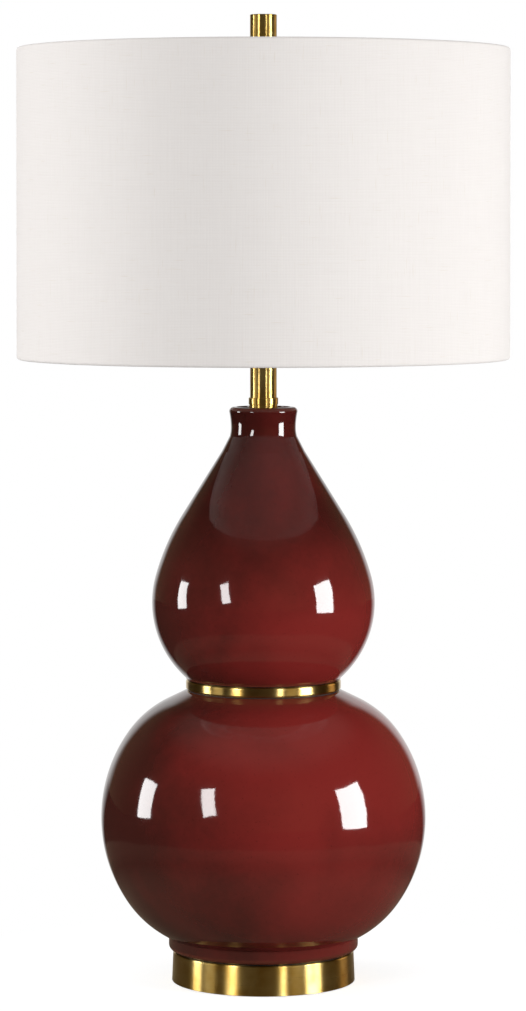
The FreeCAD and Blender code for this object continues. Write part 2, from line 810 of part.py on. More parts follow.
def switch_knob():
    """Knob with a round hub and a flat grip across its end."""
    hub_length = switch_knob_length / 2
    hub = Part.makeCylinder(switch_knob_r, hub_length, V(0, -knob_near, switch_z), V(0, -1, 0))
    grip = Part.makeBox(switch_grip_width, hub_length, 2 * switch_knob_r,
                        V(-switch_grip_width / 2, -knob_near - switch_knob_length, switch_z - switch_knob_r))
    barrel = Part.makeCylinder(switch_knob_r, switch_knob_length, V(0, -knob_near, switch_z), V(0, -1, 0))
    bore = Part.makeCylinder(switch_shaft_r, hub_length, V(0, -knob_near, switch_z), V(0, -1, 0))
    return hub.fuse(grip.common(barrel)).removeSplitter().cut(bore)


# ---------------------------------------------------------------- bulb

bulb_z = body_top_z + contact_height + face_gap
button_top_z = bulb_z + bulb_button_height
insulator_top_z = button_top_z + bulb_insulator_height
bulb_cap_top_z = insulator_top_z + bulb_cap_height
bulb_top_z = bulb_z + bulb_length


def bulb_contact():
    return turned([
        (0, bulb_z), (bulb_button_r * 0.6, bulb_z), (bulb_button_r, button_top_z), (0, button_top_z),
    ])


def bulb_insulator():
    return turned([
        (0, button_top_z), (bulb_button_r, button_top_z), (bulb_foot_r, insulator_top_z),
        (0, insulator_top_z),
    ])


def bulb_cap():
    """Screw cap, drawn in below to the insulator."""
    wall = bulb_cap_wall
    shoulder_z = insulator_top_z + (bulb_cap_r - bulb_foot_r) * 0.6
    return turned([
        (bulb_foot_r, insulator_top_z), (bulb_cap_r, shoulder_z), (bulb_cap_r, bulb_cap_top_z),
        (bulb_cap_r - wall, bulb_cap_top_z), (bulb_cap_r - wall, shoulder_z + wall),
        (bulb_foot_r - wall, insulator_top_z + wall), (0, insulator_top_z + wall),
        (0, insulator_top_z),
    ])


def bulb_glass_envelope():
    """Pear-shaped glass: a round head, a hollow curve into the neck, and a stem in the cap."""
    head = (0, bulb_top_z - bulb_r)
    hollow = bulb_shoulder_arc
    drop = sqrt((bulb_r + hollow) ** 2 - (bulb_neck_r + hollow) ** 2)
    curve = (bulb_neck_r + hollow, head[1] - drop)
    meet = -degrees(asin(drop / (bulb_r + hollow)))
    stem = bulb_cap_r - bulb_cap_wall - running_gap
    stem_z = bulb_cap_top_z - bulb_cap_height / 3
    t = bulb_glass
    return turned([
        (stem, stem_z),
        (stem, bulb_cap_top_z + face_gap),
        (bulb_neck_r, bulb_cap_top_z + bulb_neck_r - stem),
        (bulb_neck_r, curve[1]),
        arc(curve, hollow, 180, 180 + meet),
        arc(head, bulb_r, meet, 90),
        (0, bulb_top_z - t),
        *chords(head, bulb_r - t, 90, meet, 8),
        *chords(curve, hollow + t, 180 + meet, 180, 3),
        (bulb_neck_r - t, bulb_cap_top_z + bulb_neck_r - stem),
        (stem - t, bulb_cap_top_z + face_gap),
        (stem - t, stem_z),
    ])


# ---------------------------------------------------------------- shade

shade_top_z = hub_top_z + shade_rise
shade_bottom_z = shade_top_z - shade_height
hem_r = ring_wire_r + ring_wire_gap + cloth
ring_r = shade_r - hem_r
ring_top_z = shade_top_z - hem_r
ring_bottom_z = shade_bottom_z + hem_r
liner_r = shade_r - cloth


def shade_cover():
    """Linen drum in one sheet, rolled in over each ring wire and back to the liner."""
    flap_r = liner_r - liner_sheet - hem_inner_gap
    pocket = hem_r - cloth / 2
    top = (ring_r, ring_top_z)
    low = (ring_r, ring_bottom_z)
    drum = turned([
        (shade_r, ring_bottom_z),
        (shade_r, ring_top_z),
        arc(top, hem_r, 0, 180),
        (flap_r - cloth, ring_top_z - hem_turn_in),
        (flap_r, ring_top_z - hem_turn_in),
        *chords(top, pocket, 180, 0, 5)[:-1],
        (liner_r, ring_top_z),
        (liner_r, ring_bottom_z),
        *chords(low, pocket, 0, -180, 5)[1:],
        (flap_r, ring_bottom_z + hem_turn_in),
        (flap_r - cloth, ring_bottom_z + hem_turn_in),
        polar(low, hem_r, 180),
        arc(low, hem_r, -180, 0),
    ])
    return drum.cut(spider_arm_set(spider_wire_r + hem_slit_gap))


def shade_liner():
    """Stiff sheet behind the cloth, standing between the two ring wires."""
    low = ring_bottom_z + ring_wire_r + liner_edge_gap
    high = ring_top_z - ring_wire_r - liner_edge_gap
    return washer(liner_r, liner_r - liner_sheet, low, high - low)


def wire_ring(z):
    return Part.makeTorus(ring_r, ring_wire_r, V(0, 0, z))


def spider_arm_set(radius):
    """Round arms from the hub, level at first and then up to the top ring."""
    hub_mid = hub_z + spider_hub_height / 2
    path = [V(spider_hub_r - 2, 0, hub_mid), V(spider_flat_r, 0, hub_mid), V(ring_r, 0, ring_top_z)]
    run = path[1] - path[0]
    climb = path[2] - path[1]
    flat = Part.makeCylinder(radius, run.Length, path[0], run)
    slope = Part.makeCylinder(radius, climb.Length, path[1], climb)
    arm = flat.fuse([slope, Part.makeSphere(radius, path[1])])
    arms = []
    for i in range(spider_arms):
        copy = arm.copy()
        copy.rotate(V(0, 0, 0), V(0, 0, 1), spider_first_angle + i * 360 / spider_arms)
        arms.append(copy)
    return arms


def spider_ring():
    """Top ring with arms that drop to a flat hub on the stud."""
    hub = washer(spider_hub_r, stud_thread_r + running_gap, hub_z, spider_hub_height)
    bore = disc(stud_thread_r + running_gap, hub_z - 5, spider_hub_height + 10)
    return wire_ring(ring_top_z).fuse([hub] + spider_arm_set(spider_wire_r)).removeSplitter().cut(bore)


# ---------------------------------------------------------------- finial

insert_length = stud_thread_length + 0.8


def finial():
    """Plain turned cylinder on a short neck, bored for its threaded insert."""
    top_z = finial_z + finial_height
    neck_top = finial_z + finial_neck_height
    insert_top = finial_z + insert_length
    bore_top = insert_top + finial_bore_spare
    edge = finial_edge
    return turned([
        (insert_r, finial_z), (finial_neck_r, finial_z), (finial_neck_r, neck_top),
        (finial_r - edge, neck_top), (finial_r, neck_top + edge), (finial_r, top_z - edge),
        (finial_r - edge, top_z), (0, top_z), (0, bore_top),
        (stud_thread_r + slip_gap, bore_top), (stud_thread_r + slip_gap, insert_top),
        (insert_r, insert_top),
    ])


def finial_insert():
    """Threaded bush inside the finial."""
    return washer(insert_r, stud_thread_r + running_gap, finial_z, insert_length)


# ---------------------------------------------------------------- every piece

pieces = {
    "base_pad": base_pad(),
    "foot_shell": foot_shell(),
    "foot_weight": foot_weight(),
    "cord_bushing": cord_bushing(),
    "foot_seal": seal(foot_top_r - foot_seal_inset, foot_seal_width, foot_top_z, foot_seal_height),
    "lower_gourd": lower_gourd(),
    "waist_seal_lower": seal(waist_r - waist_bottom_bevel, waist_seal_width, lower_lip_z,
                             waist_seal_height),
    "waist_ring": waist_ring(),
    "waist_seal_upper": seal(waist_r - 2 * waist_top_round, waist_seal_width, waist_top_z,
                             waist_seal_height),
    "upper_gourd": upper_gourd(),
    "neck_cap": neck_cap(),
    "seat_ring": seat_ring(),
    "neck_tube": washer(neck_r, neck_r - neck_wall, neck_z, neck_length),
    "neck_plug": neck_plug(),
    "rod": washer(rod_r, rod_bore_r, rod_z, rod_top_z - rod_z),
    "clamp_washer": washer(clamp_washer_r, rod_hole, clamp_washer_z, clamp_washer_height),
    "lock_washer": washer(lock_washer_r, rod_hole, lock_washer_z, lock_washer_height),
    "bottom_nut": hex_nut(bottom_nut_z, bottom_nut_height),
    "harp_saddle": harp_saddle(),
    "harp_nut": hex_nut(harp_nut_z, harp_nut_height),
    "harp": harp(),
    "lock_sleeve_left": lock_sleeve(-1),
    "lock_sleeve_right": lock_sleeve(1),
    "swivel_stud": swivel_stud(),
    "socket_cap": socket_cap(),
    "set_screw": set_screw(),
    "socket_shell": socket_shell(),
    "socket_card": socket_card(),
    "socket_body": socket_body(),
    "terminal_screws": terminal_screws(),
    "screw_shell": screw_shell(),
    "centre_contact": disc(contact_r, body_top_z, contact_height),
    "switch_shaft": switch_shaft(),
    "switch_knob": switch_knob(),
    "bulb_contact": bulb_contact(),
    "bulb_insulator": bulb_insulator(),
    "bulb_cap": bulb_cap(),
    "bulb_envelope": bulb_glass_envelope(),
    "spider_ring": spider_ring(),
    "bottom_ring": wire_ring(ring_bottom_z),
    "shade_liner": shade_liner(),
    "shade_cover": shade_cover(),
    "finial_insert": finial_insert(),
    "finial": finial(),
}

for node, shape in pieces.items():
    export(shape, node)

print("pieces", len(pieces))
print("overall height", round(finial_z + finial_height, 2))
print("waist ring", round(waist_z, 2), "to", round(waist_top_z, 2))
print("collar", round(collar_z, 2), "to", round(collar_top_z, 2))
print("harp crown", round(harp_top_z, 2), "bulb top", round(bulb_top_z, 2))
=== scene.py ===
"""A double gourd table lamp dressed over its construction frame: glazed gourds, lathe-brushed
brass, a linen drum shade, and the harp, holder and bulb inside it."""

from functools import partial
from math import cos, degrees, pi, radians, sin

import bpy
import numpy as np
from bpy.props import FloatProperty, FloatVectorProperty, PointerProperty
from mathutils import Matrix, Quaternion, Vector


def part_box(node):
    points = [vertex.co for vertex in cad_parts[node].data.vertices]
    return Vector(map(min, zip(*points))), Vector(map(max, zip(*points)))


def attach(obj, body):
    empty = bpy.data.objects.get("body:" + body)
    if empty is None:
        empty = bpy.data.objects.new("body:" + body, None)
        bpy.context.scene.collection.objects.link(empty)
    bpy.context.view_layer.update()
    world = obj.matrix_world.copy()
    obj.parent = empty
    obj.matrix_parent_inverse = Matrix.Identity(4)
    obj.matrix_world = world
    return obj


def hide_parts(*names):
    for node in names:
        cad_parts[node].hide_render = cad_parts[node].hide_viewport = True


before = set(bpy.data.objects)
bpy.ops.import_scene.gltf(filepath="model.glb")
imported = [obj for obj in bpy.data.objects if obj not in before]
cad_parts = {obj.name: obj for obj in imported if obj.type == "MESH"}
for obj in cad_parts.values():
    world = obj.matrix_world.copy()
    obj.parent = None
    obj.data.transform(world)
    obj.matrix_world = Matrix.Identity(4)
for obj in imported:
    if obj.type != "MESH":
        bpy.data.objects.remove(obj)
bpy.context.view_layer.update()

bl_info = {
    "name": "Double gourd lamp",
    "version": (1, 0, 0),
    "blender": (4, 5, 0),
    "location": "3D View > Sidebar > Lamp",
    "description": "Dresses the frame of a double gourd table lamp, piece by piece",
    "category": "Add Mesh",
}

MM = 0.001
# an edge that bends by more than this many degrees stays sharp
CREASE = 38
# radius in millimetres of the holes that the threaded rod passes through
ROD_HOLE = 5.11
# radius in millimetres of the shade's two ring wires
WIRE_R = 1.8
# distance in millimetres between the fine brush rings of wire, holder and switch
FINE_BRUSH = 0.5
WHITE = (1, 1, 1, 1)
# the white backdrop fades in between these two directions, as cosines from straight behind
BACKDROP_RIM, BACKDROP_FULL = cos(radians(33)), cos(radians(20))


def box_mm(node):
    """Lowest and highest corner of a frame node, in millimetres."""
    low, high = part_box(node)
    return np.array(low) / MM, np.array(high) / MM


def span(node):
    """Radius, lowest and highest height of a frame node that is turned round the lamp's axis."""
    low, high = box_mm(node)
    return high[0], low[2], high[2]


def colour(code):
    """Scene-linear red, green, blue and alpha of an sRGB hex value: a channel c is c / 12.92
    up to 0.04045, and ((c + 0.055) / 1.055) to the power 2.4 above it."""
    c = np.array([int(code[i:i + 2], 16) for i in (1, 3, 5)]) / 255
    return (*np.where(c <= 0.04045, c / 12.92, ((c + 0.055) / 1.055) ** 2.4).tolist(), 1.0)


# ---------------------------------------------------------------- outlines, in millimetres


def polar(centre, radius, angle):
    """The point on a circle at an angle t in degrees: centre + radius (cos t, sin t)."""
    return (centre[0] + radius * cos(radians(angle)), centre[1] + radius * sin(radians(angle)))


def arc(centre, radius, first, last, count):
    """Points on a circle at even angles t in degrees: centre + radius (cos t, sin t)."""
    t = np.radians(np.linspace(first, last, count))
    return np.column_stack((centre[0] + radius * np.cos(t), centre[1] + radius * np.sin(t)))


def joined(*runs):
    """One outline from points and runs of points, without its repeats."""
    points = np.vstack([np.atleast_2d(np.asarray(run, float)) for run in runs])
    far = np.linalg.norm(np.diff(points, axis=0), axis=1) > 1e-4
    return points[np.concatenate(([True], far))]


def lengths(path):
    """Distance of each point of a path from its first, along the path."""
    return np.concatenate(([0], np.cumsum(np.linalg.norm(np.diff(path, axis=0), axis=1))))


def eased(points, reach, steps=5, closed=True):
    """Each corner P turned into the curve (1-t)^2 A + 2t(1-t) P + t^2 B, where A and B lie on
    its two sides, reach from P but at most 0.45 of a side. Reach is one number, or one for each
    corner. An open outline keeps its ends."""
    p = np.asarray(points, float)
    back, on = np.roll(p, 1, 0) - p, np.roll(p, -1, 0) - p
    far_back, far_on = (np.linalg.norm(d, axis=1, keepdims=True) for d in (back, on))
    reach = np.broadcast_to(np.asarray(reach, float).reshape(-1, 1), far_back.shape)
    a = p + back / far_back * np.minimum(reach, 0.45 * far_back)
    b = p + on / far_on * np.minimum(reach, 0.45 * far_on)
    t = np.linspace(0, 1, steps)[None, :, None]
    run = (1 - t) ** 2 * a[:, None] + 2 * t * (1 - t) * p[:, None] + t ** 2 * b[:, None]
    if closed:
        return run.reshape(-1, 2)
    return joined(p[0], run[1:-1].reshape(-1, 2), p[-1])


def plate(inner, outer, bottom, top, reach, steps=5):
    """A flat ring's outline with eased corners: inner and outer radius, bottom and top height."""
    return eased([(inner, bottom), (outer, bottom), (outer, top), (inner, top)], reach, steps)


def flanged(hole, spigot, outer, bottom, top, flange, reach, steps=5):
    """A bored cap's outline with eased corners: a spigot below a flange of the given thickness."""
    step = top - flange
    return eased([(hole, bottom), (spigot, bottom), (spigot, step), (outer, step), (outer, top),
                  (hole, top)], reach, steps)


def held(points, closed=True):
    """Adds a point just inside each end of a straight run that meets a bend, so that the shading
    of the run stays flat."""
    shortest, inset, bend = 0.7, 0.25, cos(radians(4))
    p = np.asarray(points, float)
    q = np.vstack((p, p[:1])) if closed else p
    side = np.diff(q, axis=0)
    length = np.linalg.norm(side, axis=1)
    heading = side / np.maximum(length, 1e-9)[:, None]
    turn = (heading * np.roll(heading, 1, 0)).sum(1) < bend
    if not closed:
        turn[0] = True
    starts = np.flatnonzero((length > shortest) & turn)
    ends = np.flatnonzero((length > shortest) & np.append(turn[1:], turn[0] if closed else True))
    at = np.concatenate((starts + 1, ends + 1))
    new = np.vstack((p[starts] + heading[starts] * inset, q[ends + 1] - heading[ends] * inset))
    order = np.argsort(at, kind="stable")
    return np.insert(p, at[order], new[order], axis=0)


# ---------------------------------------------------------------- surfaces


def build(points, loops, starts, crease=CREASE, uv=None):
    """A smooth mesh from whole arrays: places in metres, the vertex at each corner of a face, the
    first corner of each face and, where it has one, the uv at each corner."""
    mesh = bpy.data.meshes.new("surface")
    mesh.vertices.add(len(points))
    mesh.vertices.foreach_set("co", points.astype(np.float32).ravel())
    mesh.loops.add(len(loops))
    mesh.loops.foreach_set("vertex_index", loops.astype(np.int32))
    mesh.polygons.add(len(starts))
    mesh.polygons.foreach_set("loop_start", starts.astype(np.int32))
    mesh.update(calc_edges=True)
    mesh.polygons.foreach_set("use_smooth", np.ones(len(starts), bool))
    if uv is not None:
        mesh.uv_layers.new(name="along").data.foreach_set("uv", uv.astype(np.float32).ravel())
    mesh.validate()
    mesh.set_sharp_from_angle(angle=radians(crease))
    return mesh


def surface(grid, along=False, around=True, uv=None, crease=CREASE):
    """A mesh from points P[i, j] in millimetres. Rows wrap where along is set and columns where
    around is; a first or last row whose points fall together becomes one pole. Faces are turned
    outwards by the sign of the volume that they close."""
    index = np.arange(grid[..., 0].size).reshape(grid.shape[:2])
    for end in (0, -1):
        if not along and np.ptp(grid[end], axis=0).max() < 1e-6:
            index[end] = index[end, 0]
    spread = np.vstack((index, index[:1])) if along else index
    spread = np.hstack((spread, spread[:, :1])) if around else spread

    def corners(of):
        return np.stack((of[:-1, :-1], of[:-1, 1:], of[1:, 1:], of[1:, :-1]), -1).reshape(-1, 4)

    places = corners(np.arange(spread.size).reshape(spread.shape))
    used, flat = np.unique(corners(spread), return_inverse=True)
    quads = flat.reshape(-1, 4)
    points = grid.reshape(-1, 3)[used] * MM
    a, b, c, d = (points[quads[:, k]] for k in range(4))
    volume = (a * np.cross(b, c)).sum() + (a * np.cross(c, d)).sum()
    if volume < 0:
        quads, places = quads[:, ::-1], places[:, ::-1]
    # a quad with a side of no length is left as a triangle, and one with two isn't made
    kept = quads != np.roll(quads, -1, 1)
    whole = kept.sum(1) > 2
    kept &= whole[:, None]
    counts = kept.sum(1)[whole]
    return build(points, quads[kept], np.cumsum(counts) - counts, crease,
                 None if uv is None else uv.reshape(-1, 2)[places[kept]])


def round_grid(outline, sides, origin=(0, 0, 0), axis=(0, 0, 1)):
    """A grid from an outline carried round an axis W through O: the point (r, h) at turn t goes
    to O + r cos t U + r sin t V + h W, where U and V are square to W."""
    w = np.asarray(axis, float)
    v = np.array((0.0, 1.0, 0.0)) if abs(w[1]) < 0.9 else np.array((1.0, 0.0, 0.0))
    u = np.cross(v, w)
    v = np.cross(w, u)
    t = np.linspace(0, 2 * pi, sides, endpoint=False)
    r, h = np.asarray(outline, float).T
    spoke = np.cos(t)[:, None] * u + np.sin(t)[:, None] * v
    return np.asarray(origin, float) + r[:, None, None] * spoke + h[:, None, None] * w


def turned(outline, sides, origin=(0, 0, 0), axis=(0, 0, 1), closed=True):
    """A closed outline, or an open one that starts and ends on the axis, carried round it."""
    return surface(round_grid(held(outline, closed), sides, origin, axis), along=closed)


def pipe_grid(path, radius, square, sides=20):
    """A grid round a flat path: the point C(s) and angle t give C + r (cos t N + sin t B),
    with B the direction square to the path's plane and N square to the path in it."""
    along = np.gradient(path, axis=0)
    along /= np.linalg.norm(along, axis=1, keepdims=True)
    b = np.asarray(square, float)
    n = np.cross(b, along)[:, None]
    t = np.linspace(0, 2 * pi, sides, endpoint=False)[None, :, None]
    return path[:, None] + radius * (np.cos(t) * n + np.sin(t) * b)


def capped(grid):
    """Closes a tube's two ends with flat discs: a ring a little way in, then the centre."""
    rows, lip = [], 0.85
    for edge in (grid[:1], grid[-1:]):
        centre = np.broadcast_to(edge.mean(1, keepdims=True), edge.shape)
        rows += [centre, centre + (edge - centre) * lip]
    return np.concatenate((rows[0], rows[1], grid, rows[3], rows[2]))


def read(items, key, kind=np.int32, width=1):
    """One property of all of a mesh's items, in an array of width numbers for each."""
    values = np.empty(len(items) * width, kind)
    items.foreach_get(key, values)
    return values


def merged(*meshes):
    """Several meshes as one, their vertices and faces one after another."""
    points, loops, starts = [], [], []
    vertex = corner = 0
    for mesh in meshes:
        points.append(read(mesh.vertices, "co", np.float32, 3).reshape(-1, 3))
        loops.append(read(mesh.loops, "vertex_index") + vertex)
        starts.append(read(mesh.polygons, "loop_start") + corner)
        vertex += len(mesh.vertices)
        corner += len(mesh.loops)
        bpy.data.meshes.remove(mesh)
    return build(*map(np.concatenate, (points, loops, starts)))


def bored(mesh, radius, origin, axis, length):
    """The mesh less a round hole from a point along an axis, in millimetres."""
    cutter = turned([(0, 0), (radius, 0), (radius, length), (0, length)], 48, origin, axis,
                    closed=False)
    solid, tool = (bpy.data.objects.new("bored", each) for each in (mesh, cutter))
    for item in (solid, tool):
        bpy.context.scene.collection.objects.link(item)
    cut = solid.modifiers.new("hole", "BOOLEAN")
    cut.operation, cut.object, cut.solver = "DIFFERENCE", tool, "EXACT"
    graph = bpy.context.evaluated_depsgraph_get()
    made = bpy.data.meshes.new_from_object(solid.evaluated_get(graph))
    for item in (solid, tool):
        bpy.data.objects.remove(item)
    for old in (mesh, cutter):
        bpy.data.meshes.remove(old)
    made.materials.clear()
    made.set_sharp_from_angle(angle=radians(CREASE))
    return made


def place(name, mesh, material, body, slot, stands_for):
    """Puts a finished mesh in the scene at the origin, on its body, links it among the pieces that
    the brass strips light when its slot is a brass one, and hides the frame node that it stands for."""
    mesh.name = name
    mesh.materials.append(material)
    piece = bpy.data.objects.new(name, mesh)
    bpy.context.scene.collection.objects.link(piece)
    if slot in ("brass", "harp_brass", "holder_brass"):
        bpy.data.collections["brass_pieces"].objects.link(piece)
    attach(piece, body)
    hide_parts(stands_for)
    return piece


def dress(material, *nodes):
    """Gives frame nodes whose shape is right their finish."""
    for name in nodes:
        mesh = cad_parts[name].data
        for i in range(len(mesh.materials)):
            mesh.materials[i] = material


# ---------------------------------------------------------------- materials


def node(tree, kind, sockets=(), stops=None, **settings):
    """Adds a node. Settings are set on it; sockets gives the inputs that these leave in use, in
    order or by name, each a value or what it is linked to, where a node means its first output
    in use; stops are the places and values of a ramp."""
    made = tree.nodes.new("ShaderNode" + kind)
    for key, value in settings.items():
        setattr(made, key, value)
    used = [each for each in made.inputs if each.enabled]
    for key, value in sockets.items() if isinstance(sockets, dict) else zip(used, sockets):
        socket = next(each for each in used if each.name == key) if isinstance(key, str) else key
        if isinstance(value, bpy.types.Node):
            value = next(each for each in value.outputs if each.enabled)
        if isinstance(value, bpy.types.NodeSocket):
            tree.links.new(value, socket)
        else:
            socket.default_value = value
    if stops:
        ramp = made.color_ramp.elements
        ramp[0].position, ramp[1].position = stops[0][0], stops[-1][0]
        for at, _ in stops[1:-1]:
            ramp.new(at)
        for element, (_, value) in zip(ramp, stops):
            element.color = colour(value) if isinstance(value, str) else (value, value, value, 1)
    return made


def empty(holder):
    """Clears the nodes of a new material or world, and returns node for its tree."""
    holder.use_nodes = True
    holder.node_tree.nodes.clear()
    return partial(node, holder.node_tree)


def finish(sockets_of):
    """Turns a function that adds nodes and returns the sockets of a principled shader into one
    that takes a name and returns the material called so, made once."""
    def material_of(name, *details, **more):
        material = bpy.data.materials.get(name)
        if material is None:
            material = bpy.data.materials.new(name)
            add = empty(material)
            shader = add("BsdfPrincipled", sockets_of(add, *details, **more))
            add("OutputMaterial", {"Surface": shader})
        return material

    return material_of


def per(real):
    """Scale of a pattern whose real size is given in millimetres."""
    return 1 / (real * MM)


@finish
def oxblood_glaze(add, settings):
    """Stoneware under a thick fired oxblood glaze: deep red that pools darker and browner in soft
    clouds, thin and brown where it runs off an edge, glassy with a faint waver. Painted light and
    shade lie in its colour: redder to the right front, browner to the left, and darker under the
    lamp shade and low down."""
    place_in = add("TexCoord").outputs["Object"]
    # clouds 60 to 90 mm across, where the glaze is thicker and browner
    cloud = add("TexNoise", {"Vector": place_in, "Scale": per(90.91), "Detail": 2.0,
                             "Roughness": 0.45, "Distortion": 0.4})
    # mottling of 5 to 8 mm, from the crystals in the copper red
    mottle = add("TexNoise", {"Vector": place_in, "Scale": per(6.667), "Detail": 4.0,
                              "Roughness": 0.6})
    both = add("Mix", [0.16, cloud, mottle])
    # redder to the right front and browner to the left, partly the glaze's own colour and partly
    # painted light from the right softbox with painted shade on the left: the cosine of the bearing
    # from the right front, plus the clouds, drives the colour
    lit_red_bearing = radians(55)
    level = add("VectorMath", [place_in, (1.0, 1.0, 0.0)], operation="MULTIPLY")
    bearing = add("VectorMath", [level], operation="NORMALIZE")
    lit_red_side = add("VectorMath", [bearing, (sin(lit_red_bearing), -cos(lit_red_bearing), 0)],
                operation="DOT_PRODUCT")
    # and the back is made redder again, so that the painted shade of the left side doesn't run round
    # behind
    toward = add("SeparateXYZ", [bearing])
    rear = add("Math", [toward.outputs["Y"], 0.0], operation="MAXIMUM")
    side_light_and_red = add("Math", [rear, 0.9, lit_red_side], operation="MULTIPLY_ADD")
    # reddest round the shoulder of the lower gourd, and browner above and at the foot: partly the
    # glaze's own change, partly painted shade on the upper gourd under the lamp shade and on the
    # undersides low down; the ramp runs over the lowest half metre
    height = add("SeparateXYZ", [place_in])
    share = add("MapRange", {"Value": height.outputs["Z"], "From Max": 0.5})
    height_red_and_shade = add("ValToRGB", [share], stops=[
        (0.06, 0.04), (0.18, 0.24), (0.25, 0.3), (0.3, 0.47), (0.36, 0.62), (0.48, 0.72),
        (0.58, 0.6), (0.64, 0.42), (0.72, 0.2), (0.82, 0.02), (1.0, 0.06)])
    # the side's red and its painted light and shade count for more where the ramp runs high
    reach = add("Math", [height_red_and_shade, 1.3, 0.4], operation="MULTIPLY_ADD")
    side_share = add("Math", [reach, side_light_and_red], operation="MULTIPLY")
    lit = add("Math", [height_red_and_shade, 0.5, side_share], operation="MULTIPLY_ADD")
    mixed = add("Math", [both, 2.2, lit], operation="MULTIPLY_ADD")
    depth = add("MapRange", {"Value": mixed, "From Min": 0.8, "From Max": 2.5},
                interpolation_type="SMOOTHSTEP")
    fired = add("Mix", [depth, settings.glaze_deep, settings.glaze_red], data_type="RGBA")
    # painted shade: the shoulder of the upper gourd, under the lamp shade, is darkened to two thirds
    shade_dimming = add("MapRange", {"Value": share, "From Min": 0.74, "From Max": 0.86, "To Min": 1.0,
                             "To Max": 0.66})
    shade_dimmed = add("Mix", [1.0, fired, shade_dimming], data_type="RGBA", blend_type="MULTIPLY")
    # specks of iron of under 1 mm
    specks = add("TexNoise", {"Vector": place_in, "Scale": per(1.613), "Detail": 2.0})
    speck = add("ValToRGB", [specks], stops=[(0.66, 0.0), (0.74, 0.45)])
    dotted = add("Mix", [speck, shade_dimmed, colour("#2a0f0c")], data_type="RGBA")
    # the glaze thins to a brown line on lips and foot rings: own attribute from the outline
    thin = add("Attribute", attribute_name="thin")
    broken = add("Math", [mottle, 0.5], operation="ADD")
    run = add("Math", [thin.outputs["Fac"], broken], operation="MULTIPLY", use_clamp=True)
    edge = add("Mix", [run, dotted, settings.glaze_edge], data_type="RGBA")
    # a slow waver of the glassy surface over 30 mm, and orange peel over 3 mm
    waver = add("TexNoise", {"Vector": place_in, "Scale": per(29.41), "Detail": 1.0})
    peel = add("TexNoise", {"Vector": place_in, "Scale": per(3.03), "Detail": 2.0})
    slow = add("Bump", {"Strength": 1.0, "Distance": 0.35 * MM, "Height": waver})
    fine = add("Bump", {"Strength": 1.0, "Distance": 0.012 * MM, "Height": peel, "Normal": slow})
    gloss = add("MapRange", {"Value": mottle, "To Min": 0.035, "To Max": 0.075})
    return {"Base Color": edge, "Roughness": gloss, "IOR": 1.55, "Normal": fine}


@finish
def brushed_brass(add, settings, pitch, axis="Z"):
    """Yellow brass brushed on the lathe and lacquered: satin with fine rings round the axis that
    draw each reflection out lengthways, warmer where the lacquer lies thick."""
    place_in = add("TexCoord").outputs["Object"]
    parts = add("SeparateXYZ", [place_in]).outputs
    x, y, z = (parts[name] for name in ("XYZ" if axis == "Z" else "XZY"))
    turn = add("Math", [y, x], operation="ARCTAN2")
    flat = add("CombineXYZ", [x, y])
    out = add("VectorMath", [flat], operation="LENGTH")
    # brush rings: real ones are 0.05 mm apart, drawn at about the given pitch so that they show
    long = add("Math", [z, per(pitch)], operation="MULTIPLY")
    wide = add("Math", [out, per(pitch)], operation="MULTIPLY")
    lap = add("Math", [turn, 1.4], operation="MULTIPLY")
    brush_at = add("CombineXYZ", [long, wide, lap])
    rings = add("TexNoise", {"Vector": brush_at, "Scale": 1.0, "Detail": 3.0, "Roughness": 0.7})
    # thick and thin lacquer over about 20 mm
    lacquer = add("TexNoise", {"Vector": place_in, "Scale": per(18.18), "Detail": 2.0})
    warm = add("ValToRGB", [lacquer], stops=[(0.35, 0.0), (0.65, 1.0)])
    base = add("Mix", [warm, settings.brass_warm, settings.brass_pale], data_type="RGBA")
    worn = add("MapRange", {"Value": rings, "From Min": 0.3, "From Max": 0.7, "To Min": 0.96,
                            "To Max": 1.02})
    shaded = add("Mix", [1.0, base, worn], data_type="RGBA", blend_type="MULTIPLY")
    rough = add("MapRange", {"Value": rings, "From Min": 0.25, "From Max": 0.75,
                             "To Min": 0.27, "To Max": 0.31})
    relief = add("Bump", {"Strength": 0.1, "Distance": 0.002 * MM, "Height": rings})
    tangent = add("Tangent", direction_type="RADIAL", axis=axis)
    return {"Base Color": shaded, "Metallic": 1.0, "Roughness": rough, "Normal": relief,
            "Anisotropic": 1.0, "Anisotropic Rotation": 0.25, "Tangent": tangent}


